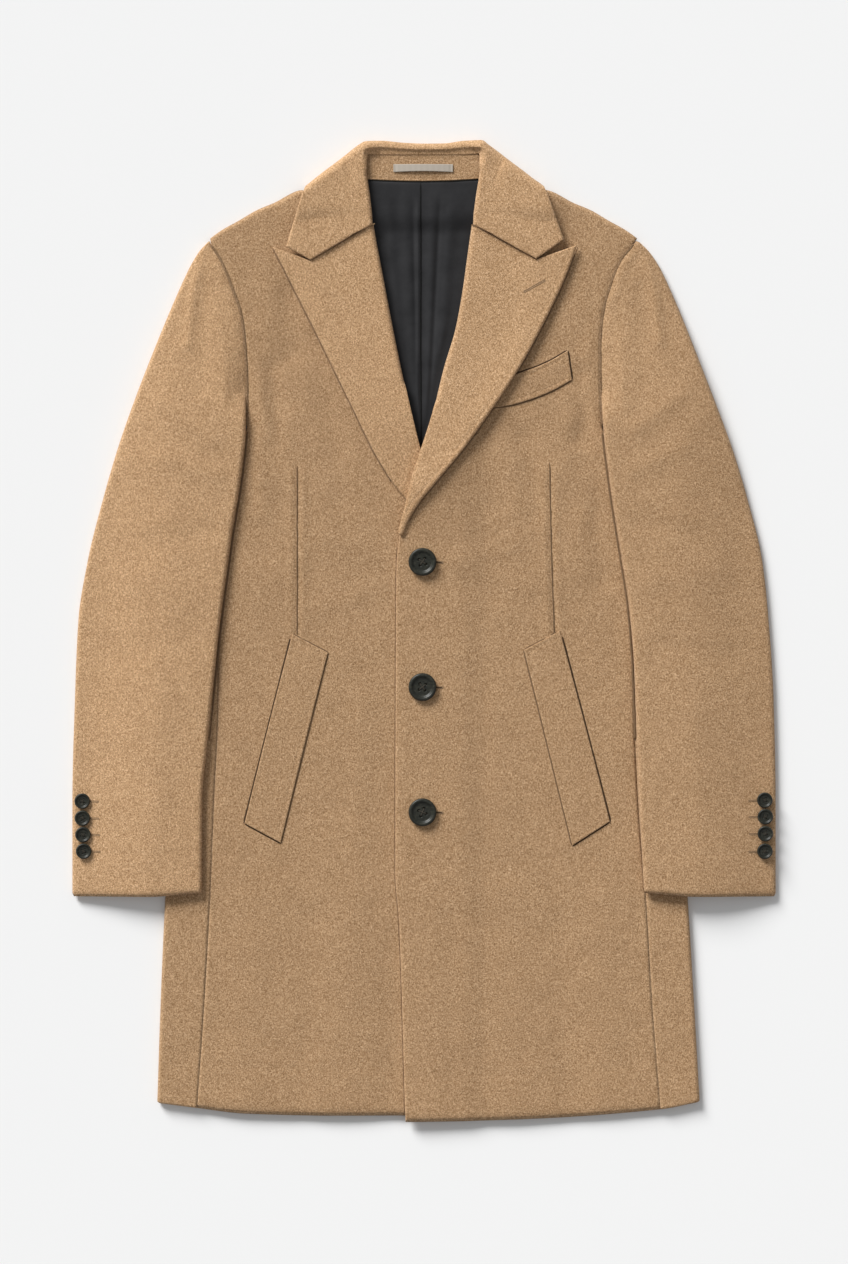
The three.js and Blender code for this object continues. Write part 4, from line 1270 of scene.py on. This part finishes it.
def melton(name, painted_light_scale, spin):
    """Heathered wool: short fibres of three camel shades, a milled nap and a soft edge glow. The second
    argument scales all the shades: painted light above 1, painted shade below 1.
    """
    material, nodes, links, surface = shader(name)
    flat = mapped(nodes, links, spin=spin)
    streaky = mapped(nodes, links, (1.0, 0.45, 1.0), spin)
    fibres = noise(nodes, links, streaky, 1150.0, 4.0, 0.75, 0.6)
    flecks = noise(nodes, links, flat, 700.0, 3.0, 0.7, 0.9)
    clouds = noise(nodes, links, flat, 42.0, 3.0, 0.5)
    shades = [(0.405, MELTON_DARK), (0.50, MELTON_BASE), (0.605, MELTON_PALE)]
    shades = [(place, tuple(part * painted_light_scale for part in colour)) for place, colour in shades]
    fine = ramp(nodes, links, fibres, shades)
    coarse = ramp(nodes, links, flecks, shades)
    heather = mixed(nodes, links, 0.55, fine, coarse)
    cloud_tone = ramp(nodes, links, clouds, [(0.3, (0.965, 0.96, 0.955)), (0.7, (1.03, 1.03, 1.03))])
    colour = mixed(nodes, links, 1.0, heather, cloud_tone, "MULTIPLY")
    links.new(colour, surface.inputs["Base Color"])
    nap = noise(nodes, links, flat, 1500.0, 2.0, 0.6)
    height = summed(nodes, links, [(fibres, 0.55), (flecks, 0.9), (nap, 0.25), (clouds, 0.8)])
    bump(nodes, links, height, 0.75, 0.0013, surface)
    set_inputs(surface, Roughness=0.93, Sheen_Weight=0.16, Sheen_Roughness=0.55, Specular_IOR_Level=0.12)
    surface.inputs["Sheen Tint"].default_value = (1.0, 0.9, 0.78, 1.0)
    return material


def satin():
    material, nodes, links, surface = shader("lining satin")
    weave = mapped(nodes, links, (1.0, 0.2, 1.0))
    broad = mapped(nodes, links)
    threads = noise(nodes, links, weave, 2600.0, 2.0, 0.5)
    clouds = noise(nodes, links, broad, 55.0, 3.0, 0.5)
    tone = ramp(nodes, links, clouds, [(0.3, (0.013, 0.013, 0.0145)), (0.7, (0.023, 0.023, 0.025))])
    links.new(tone, surface.inputs["Base Color"])
    height = summed(nodes, links, [(threads, 0.2), (clouds, 1.0)])
    bump(nodes, links, height, 0.35, 0.0008, surface)
    set_inputs(surface, Roughness=0.62, Specular_IOR_Level=0.24, Sheen_Weight=0.04, Sheen_Roughness=0.5)
    return material


def plain_thread(name, dark, pale, scale=2200.0, roughness=0.75):
    material, nodes, links, surface = shader(name)
    coords = mapped(nodes, links, (1.0, 0.3, 1.0))
    strand = noise(nodes, links, coords, scale, 2.0, 0.6)
    links.new(ramp(nodes, links, strand, [(0.3, dark), (0.7, pale)]), surface.inputs["Base Color"])
    bump(nodes, links, strand, 0.5, 0.0004, surface)
    set_inputs(surface, Roughness=roughness, Specular_IOR_Level=0.25)
    return material


def ribbon():
    """A woven ribbon, ribbed across its length."""
    material, nodes, links, surface = shader("loop ribbon")
    coords = mapped(nodes, links, (1.0, 0.1, 1.0))
    wave = nodes.new("ShaderNodeTexWave")
    set_inputs(wave, Scale=260.0, Distortion=0.6, Detail=1.0)
    links.new(coords, wave.inputs["Vector"])
    tone = ramp(nodes, links, wave.outputs["Fac"], [(0.1, (0.35, 0.31, 0.26)), (0.9, (0.54, 0.48, 0.41))])
    links.new(tone, surface.inputs["Base Color"])
    bump(nodes, links, wave.outputs["Fac"], 0.4, 0.0003, surface)
    set_inputs(surface, Roughness=0.6, Specular_IOR_Level=0.35)
    return material


def horn():
    material, nodes, links, surface = shader("button horn")
    coords = mapped(nodes, links, (1.0, 2.2, 1.0), 0.5)
    grain = noise(nodes, links, coords, 130.0, 5.0, 0.62, 2.2)
    tone = ramp(nodes, links, grain, [(0.32, (0.008, 0.009, 0.007)), (0.55, (0.021, 0.022, 0.016)),
                                      (0.75, (0.062, 0.057, 0.040))])
    links.new(tone, surface.inputs["Base Color"])
    bump(nodes, links, grain, 0.08, 0.0003, surface)
    set_inputs(surface, Roughness=0.4, Specular_IOR_Level=0.35)
    return material


MELTON = melton("wool melton", 1.0, 0.0)
# The sleeves' melton, 1.03 and 1.18 times as bright as the body's: painted light, brightest on the wearer's
# right sleeve, on the lit side.
MELTON_SLEEVE_PAINTED_LIGHT = {
    "left": melton("wool melton left sleeve painted light", 1.03, 0.12),
    "right": melton("wool melton right sleeve painted light", 1.18, -0.12),
}
# The lapels' and collar's melton: its nap turned, and its shades 1.2 times as bright, a painted sheen.
MELTON_TURNED_PAINTED_SHEEN = melton("wool melton facing painted sheen", 1.20, 1.1)
# The melton at 0.62 of its brightness, for strips of painted shade along the armholes, gorges, front edge and
# lapel edges.
MELTON_PAINTED_SHADE = melton("wool melton painted shade", 0.62, 0.4)
SATIN = satin()
RIBBON = ribbon()
HORN = horn()
WOOL_THREAD = plain_thread("buttonhole twist", (0.20, 0.125, 0.065), (0.40, 0.265, 0.155))
SEAM_SHADE = plain_thread("shadowed seam", (0.045, 0.026, 0.013), (0.085, 0.050, 0.026), 900.0, 0.95)
# A soft dark brown for strips of painted shade along welt edges, darts and the sleeves' inner folds.
SEAM_PAINTED_SOFT_SHADE = plain_thread("painted soft seam shade", (0.150, 0.092, 0.047), (0.230, 0.145, 0.080), 900.0, 0.95)
PLEAT_SHADE = plain_thread("lining pleat shadow", (0.002, 0.002, 0.002), (0.005, 0.005, 0.005), 900.0, 0.8)
DARK_THREAD = plain_thread("button thread", (0.020, 0.018, 0.014), (0.075, 0.062, 0.045))


# The coat's pieces.

FLOOR_NAME = "Floor"
SIDES = ("left", "right")


def detail(piece, material, slot="wool_melton"):
    piece.data.materials.clear()
    piece.data.materials.append(material)
    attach(piece, "root")
    return piece


def dress(piece, node, material=MELTON, slot="wool_melton"):
    """Gives a sheet its material, attaches it to the root body and hides the solid that it stands for."""
    detail(piece, material, slot)
    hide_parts(node)
    return piece


back = dress(back_panel(), "back")
for side in SIDES:
    cloth = MELTON_SLEEVE_PAINTED_LIGHT[side]
    dress(front_panel(side), f"front_{side}")
    flank = dress(side_panel(side), f"side_{side}")
    under_ply = sleeve_ply(side, "under")
    under = dress(under_ply, f"sleeve_{side}_under", cloth)
    dress(sleeve_ply(side, "top"), f"sleeve_{side}_top", cloth)

for side in SIDES:
    dress(lapel(side), f"lapel_{side}", MELTON_TURNED_PAINTED_SHEEN)
dress(collar(), "collar", MELTON_TURNED_PAINTED_SHEEN)
dress(neck_facing(), "neck_facing")
dress(back_lining(), "lining", SATIN, "lining_satin")
dress(hanger_loop(), "hanger_loop", RIBBON, "loop_ribbon")
dress(chest_welt(), "chest_welt")
for side in SIDES:
    dress(hip_welt(side, HIP_CORNERS[side]), f"pocket_welt_{side}")


# The cloth's top, for what lies on it

def front_cloth(side):
    return lambda x, down: front_top(side, x, down)


def lapel_cloth(side):
    return lambda x, down: turned_top(side, x, down)


def gorge_cloth(side):
    return lambda x, down: turned_top(side, x, np.maximum(down, 84.0)) - 0.45


def sleeve_cloth(side):
    def height(x, down):
        wide = np.abs(x)
        plain = sleeve_low(side, wide, down) + sleeve_depth(side, wide, down)
        return plain + sleeve_top_relief(side, x, down) + sleeve_smooth(side, wide, down)
    return height


# Buttons, with their thread and worked holes. Rows are (x, down, turn) and sizes (diameter, thickness).

FRONT_BUTTON_X = -1.5
FRONT_BUTTON_SIZE = (28.0, 4.2)
FRONT_SHANK = 1.2
CUFF_BUTTON_SIZE = (15.6, 3.0)
CUFF_SHANK = 0.9
FRONT_BUTTONS = ((422.0, 0.18), (547.0, -0.12), (672.0, 0.4))
CUFF_BUTTONS = {
    "right": ((-341.5, 661.0, 0.1), (-341.3, 678.0, 0.5), (-340.7, 694.5, -0.2), (-340.0, 711.0, 0.3)),
    "left": ((340.5, 660.0, 0.2), (341.0, 676.5, -0.3), (341.0, 693.5, 0.4), (340.5, 711.0, 0.0)),
}
left_cloth = front_cloth("left")


def sewn_button(node, x, down, seat, size, turn):
    disc = button(f"{node}_horn", x, down, seat, *size, turn)
    detail(disc, HORN, "button_horn")
    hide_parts(node)
    detail(thread_cross(f"{node}_horn_thread", x, down, seat, *size, turn), DARK_THREAD, "button_horn")


def worked_hole(name, start, end, height, width=3.2):
    detail(buttonhole(name, start, end, height, width), WOOL_THREAD)


def seam(name, path, width, height, material, lift=0.3):
    detail(seam_line(name, path, width, height, lift), material)


for index, (down, turn) in enumerate(FRONT_BUTTONS, 1):
    seat = float(left_cloth(FRONT_BUTTON_X, down)) + FRONT_SHANK
    sewn_button(f"front_button_{index}", FRONT_BUTTON_X, down, seat, FRONT_BUTTON_SIZE, turn)
    worked_hole(f"front_buttonhole_{index}", (19.5, down + 0.4), (-4.5, down), left_cloth)
    # A dark strip in each buttonhole's slit: the slit's painted shadow.
    slit = [(9.0, down + 0.2), (18.2, down + 0.5)]
    seam(f"front_buttonhole_slit_shadow_{index}", slit, 1.5, left_cloth, SEAM_SHADE, 0.75)

for side, rows in CUFF_BUTTONS.items():
    height = sleeve_cloth(side)
    sign = SIGN[side]
    for index, (x, down, turn) in enumerate(rows, 1):
        seat = float(height(x - sign * 4.7, down)) + CUFF_SHANK
        sewn_button(f"cuff_button_{side}_{index}", x, down, seat, CUFF_BUTTON_SIZE, turn)
        start = (x - sign * 16.5, down + 0.3)
        end = (x + sign * 1.0, down)
        worked_hole(f"cuff_buttonhole_{side}_{index}", start, end, height, 2.2)

worked_hole("lapel_buttonhole", (99.5, 152.5), (121.0, 140.5), lapel_cloth("left"), 2.6)


# Seams, gaps and edges that show as dark lines, most painted as strips of shade: pockets, darts, armholes,
# gorges, front, lapels, sleeves, chest and lining pleat, and a line of dark thread at the neck

FLAT_LIFT = 0.12
EDGE_LIFT = 0.2
DART_START = {"left": 322.0, "right": 326.0}
GORGES = {"right": ((-113.4, 120.6), (-49.0, 83.0)), "left": ((112.0, 119.4), (47.5, 84.2))}


def moved(points, across, down_by=0.0):
    return [(x + across, down + down_by) for x, down in points]


def edge_path(line, side, off, start, end, count):
    """Points along an outline, off outside it."""
    return [(SIGN[side] * (float(line(down)) + off), down) for down in np.linspace(start, end, count)]


for side in SIDES:
    cloth = front_cloth(side)
    sign = SIGN[side]
    a, b, c, d = HIP_CORNERS[side]
    outer_edge, inner_edge = ((b, c), (a, d)) if side == "left" else ((a, d), (b, c))
    # Dark strips round each hip welt: painted shadow in the pocket's mouth and below the welt's end, painted
    # shade along its other edges.
    seam(f"pocket_mouth_shadow_{side}", moved(outer_edge, sign * 0.9), 2.1, cloth, SEAM_SHADE)
    seam(f"pocket_inner_shade_{side}", moved(inner_edge, -sign * 0.6), 1.4, cloth, SEAM_PAINTED_SOFT_SHADE)
    seam(f"pocket_top_shade_{side}", moved((a, b), 0.0, -0.6), 1.3, cloth, SEAM_PAINTED_SOFT_SHADE)
    seam(f"pocket_end_shadow_{side}", moved((d, c), 0.0, 0.7), 1.7, cloth, SEAM_SHADE)
    # A strip of painted shade along the dart's sunk line.
    dart = [(float(DART[side]["x"](down)), down) for down in np.linspace(DART_START[side], 494.0, 9)]
    seam(f"dart_{side}", dart, 1.1, cloth, SEAM_PAINTED_SOFT_SHADE, 0.35)
    # A strip of the darker melton along the armhole seam: painted shade.
    armhole = edge_path(ARM_LINE[side], side, 0.4, 104.0, 286.0, 15)
    seam(f"armhole_{side}", armhole, 2.6, lambda x, down: BODY_HEIGHT + 0.1, MELTON_PAINTED_SHADE, FLAT_LIFT)
    # A strip of the darker melton along the gorge seam: painted shade.
    outer_point, inner_point = GORGES[side]
    gorge = [(outer_point[0], outer_point[1] + 0.4), (inner_point[0], inner_point[1] + 1.0)]
    seam(f"gorge_{side}", gorge, 2.6, gorge_cloth(side), MELTON_PAINTED_SHADE, FLAT_LIFT)

front_edge = edge_path(FRONT_EDGE["left"], "left", -0.9, 404.0, 974.0, 15)
seam("front_edge_shadow", front_edge, 1.0, front_cloth("right"), MELTON_PAINTED_SHADE, EDGE_LIFT)
for side in SIDES:
    edge = [(x, down) for x, down, roll in LAPEL[side]["rows"][:-1]]
    edge = moved(edge, SIGN[side] * 0.9, 0.9)
    seam(f"lapel_edge_shadow_{side}", edge, 1.4, front_cloth(side), MELTON_PAINTED_SHADE, EDGE_LIFT)
    # A strip of painted shade on the body along each sleeve's inner fold.
    groove = edge_path(ARM_LINE[side], side, -0.5, 292.0, 600.0, 12)
    seam(f"sleeve_groove_shadow_{side}", groove, 2.0, front_cloth(side), SEAM_PAINTED_SOFT_SHADE, EDGE_LIFT)

chest_upper = [(86.0, 236.0), (93.8, 232.8), (113.0, 226.1), (128.3, 219.0), (143.0, 210.4)]
chest_lower = [(66.0, 268.4), (84.3, 266.2), (108.2, 259.6), (128.3, 251.4), (147.6, 240.6)]
# Painted shadow in the chest pocket's mouth and at the welt's end, painted shade along its lower edge.
seam("chest_mouth_shadow", chest_upper, 1.7, left_cloth, SEAM_SHADE)
seam("chest_low_shade", chest_lower, 1.5, left_cloth, SEAM_PAINTED_SOFT_SHADE)
seam("chest_end_shadow", [(144.4, 211.0), (148.6, 239.4)], 1.6, left_cloth, SEAM_SHADE)
# A black strip of painted shadow down the lining's pleat.
pleat = [(-3.4, 43.0), (-3.0, 120.0), (-3.2, 200.0), (-2.6, 306.0)]
seam("lining_pleat_shadow", pleat, 1.7, lining_height, PLEAT_SHADE, 0.15)
neck_line = [(-57.0, 39.4), (-20.0, 41.0), (20.0, 40.9), (55.0, 39.0)]
seam("neck_seam", neck_line, 1.1, lambda x, down: back_top(x, down) + 1.6, DARK_THREAD, FLAT_LIFT)


# Floor, light and camera: a pale cut-out ground seen from straight above

def floor():
    half = 6.0
    corners = [(-half, -half, 0.0), (half, -half, 0.0), (half, half, 0.0), (-half, half, 0.0)]
    mesh = bpy.data.meshes.new(FLOOR_NAME)
    mesh.from_pydata(corners, [], [(0, 1, 2, 3)])
    ground = bpy.data.objects.new(FLOOR_NAME, mesh)
    ground.location = (0.0, 0.0, -0.0002)
    bpy.context.scene.collection.objects.link(ground)
    material, _, _, surface = shader("pale paper")
    set_inputs(surface, Roughness=1.0, Specular_IOR_Level=0.0)
    surface.inputs["Base Color"].default_value = (0.88, 0.885, 0.89, 1.0)
    mesh.materials.append(material)


def sun(name, azimuth, elevation, strength, spread, colour=(1.0, 1.0, 1.0)):
    """A sun that shines from azimuth (degrees clockwise from the collar's direction) and elevation."""
    light = bpy.data.lights.new(name, "SUN")
    light.energy = strength
    light.angle = math.radians(spread)
    light.color = colour
    lamp = bpy.data.objects.new(name, light)
    lamp.rotation_euler = (math.radians(90.0 - elevation), 0.0, math.radians(180.0 - azimuth))
    bpy.context.scene.collection.objects.link(lamp)


def surroundings(strength):
    world = bpy.data.worlds.new("pale room")
    world.use_nodes = True
    world.node_tree.nodes["Background"].inputs["Color"].default_value = (1.0, 1.0, 1.0, 1.0)
    world.node_tree.nodes["Background"].inputs["Strength"].default_value = strength
    bpy.context.scene.world = world


CAMERA_HEIGHT = 4.0
FRAME_HEIGHT = 1.264
FRAME_MIDDLE = -0.0015
CLOTH_LEVEL = 0.008


def overhead_camera(distance, frame_height, centre_y):
    lens = bpy.data.cameras.new("Overhead")
    lens.sensor_fit = "VERTICAL"
    lens.sensor_height = 36.0
    lens.lens = lens.sensor_height * (distance - CLOTH_LEVEL) / frame_height
    lens.clip_end = 30.0
    camera = bpy.data.objects.new("Overhead", lens)
    camera.location = (0.0, centre_y, distance)
    bpy.context.scene.collection.objects.link(camera)
    bpy.context.scene.camera = camera


floor()
sun("Key", -34.0, 27.0, 4.6, 26.0, (1.0, 0.995, 0.985))
sun("Fill", 150.0, 60.0, 0.10, 60.0)
surroundings(0.33)
overhead_camera(CAMERA_HEIGHT, FRAME_HEIGHT, FRAME_MIDDLE)
bpy.context.scene.view_settings.view_transform = "Standard"
bpy.context.scene.view_settings.look = "None"
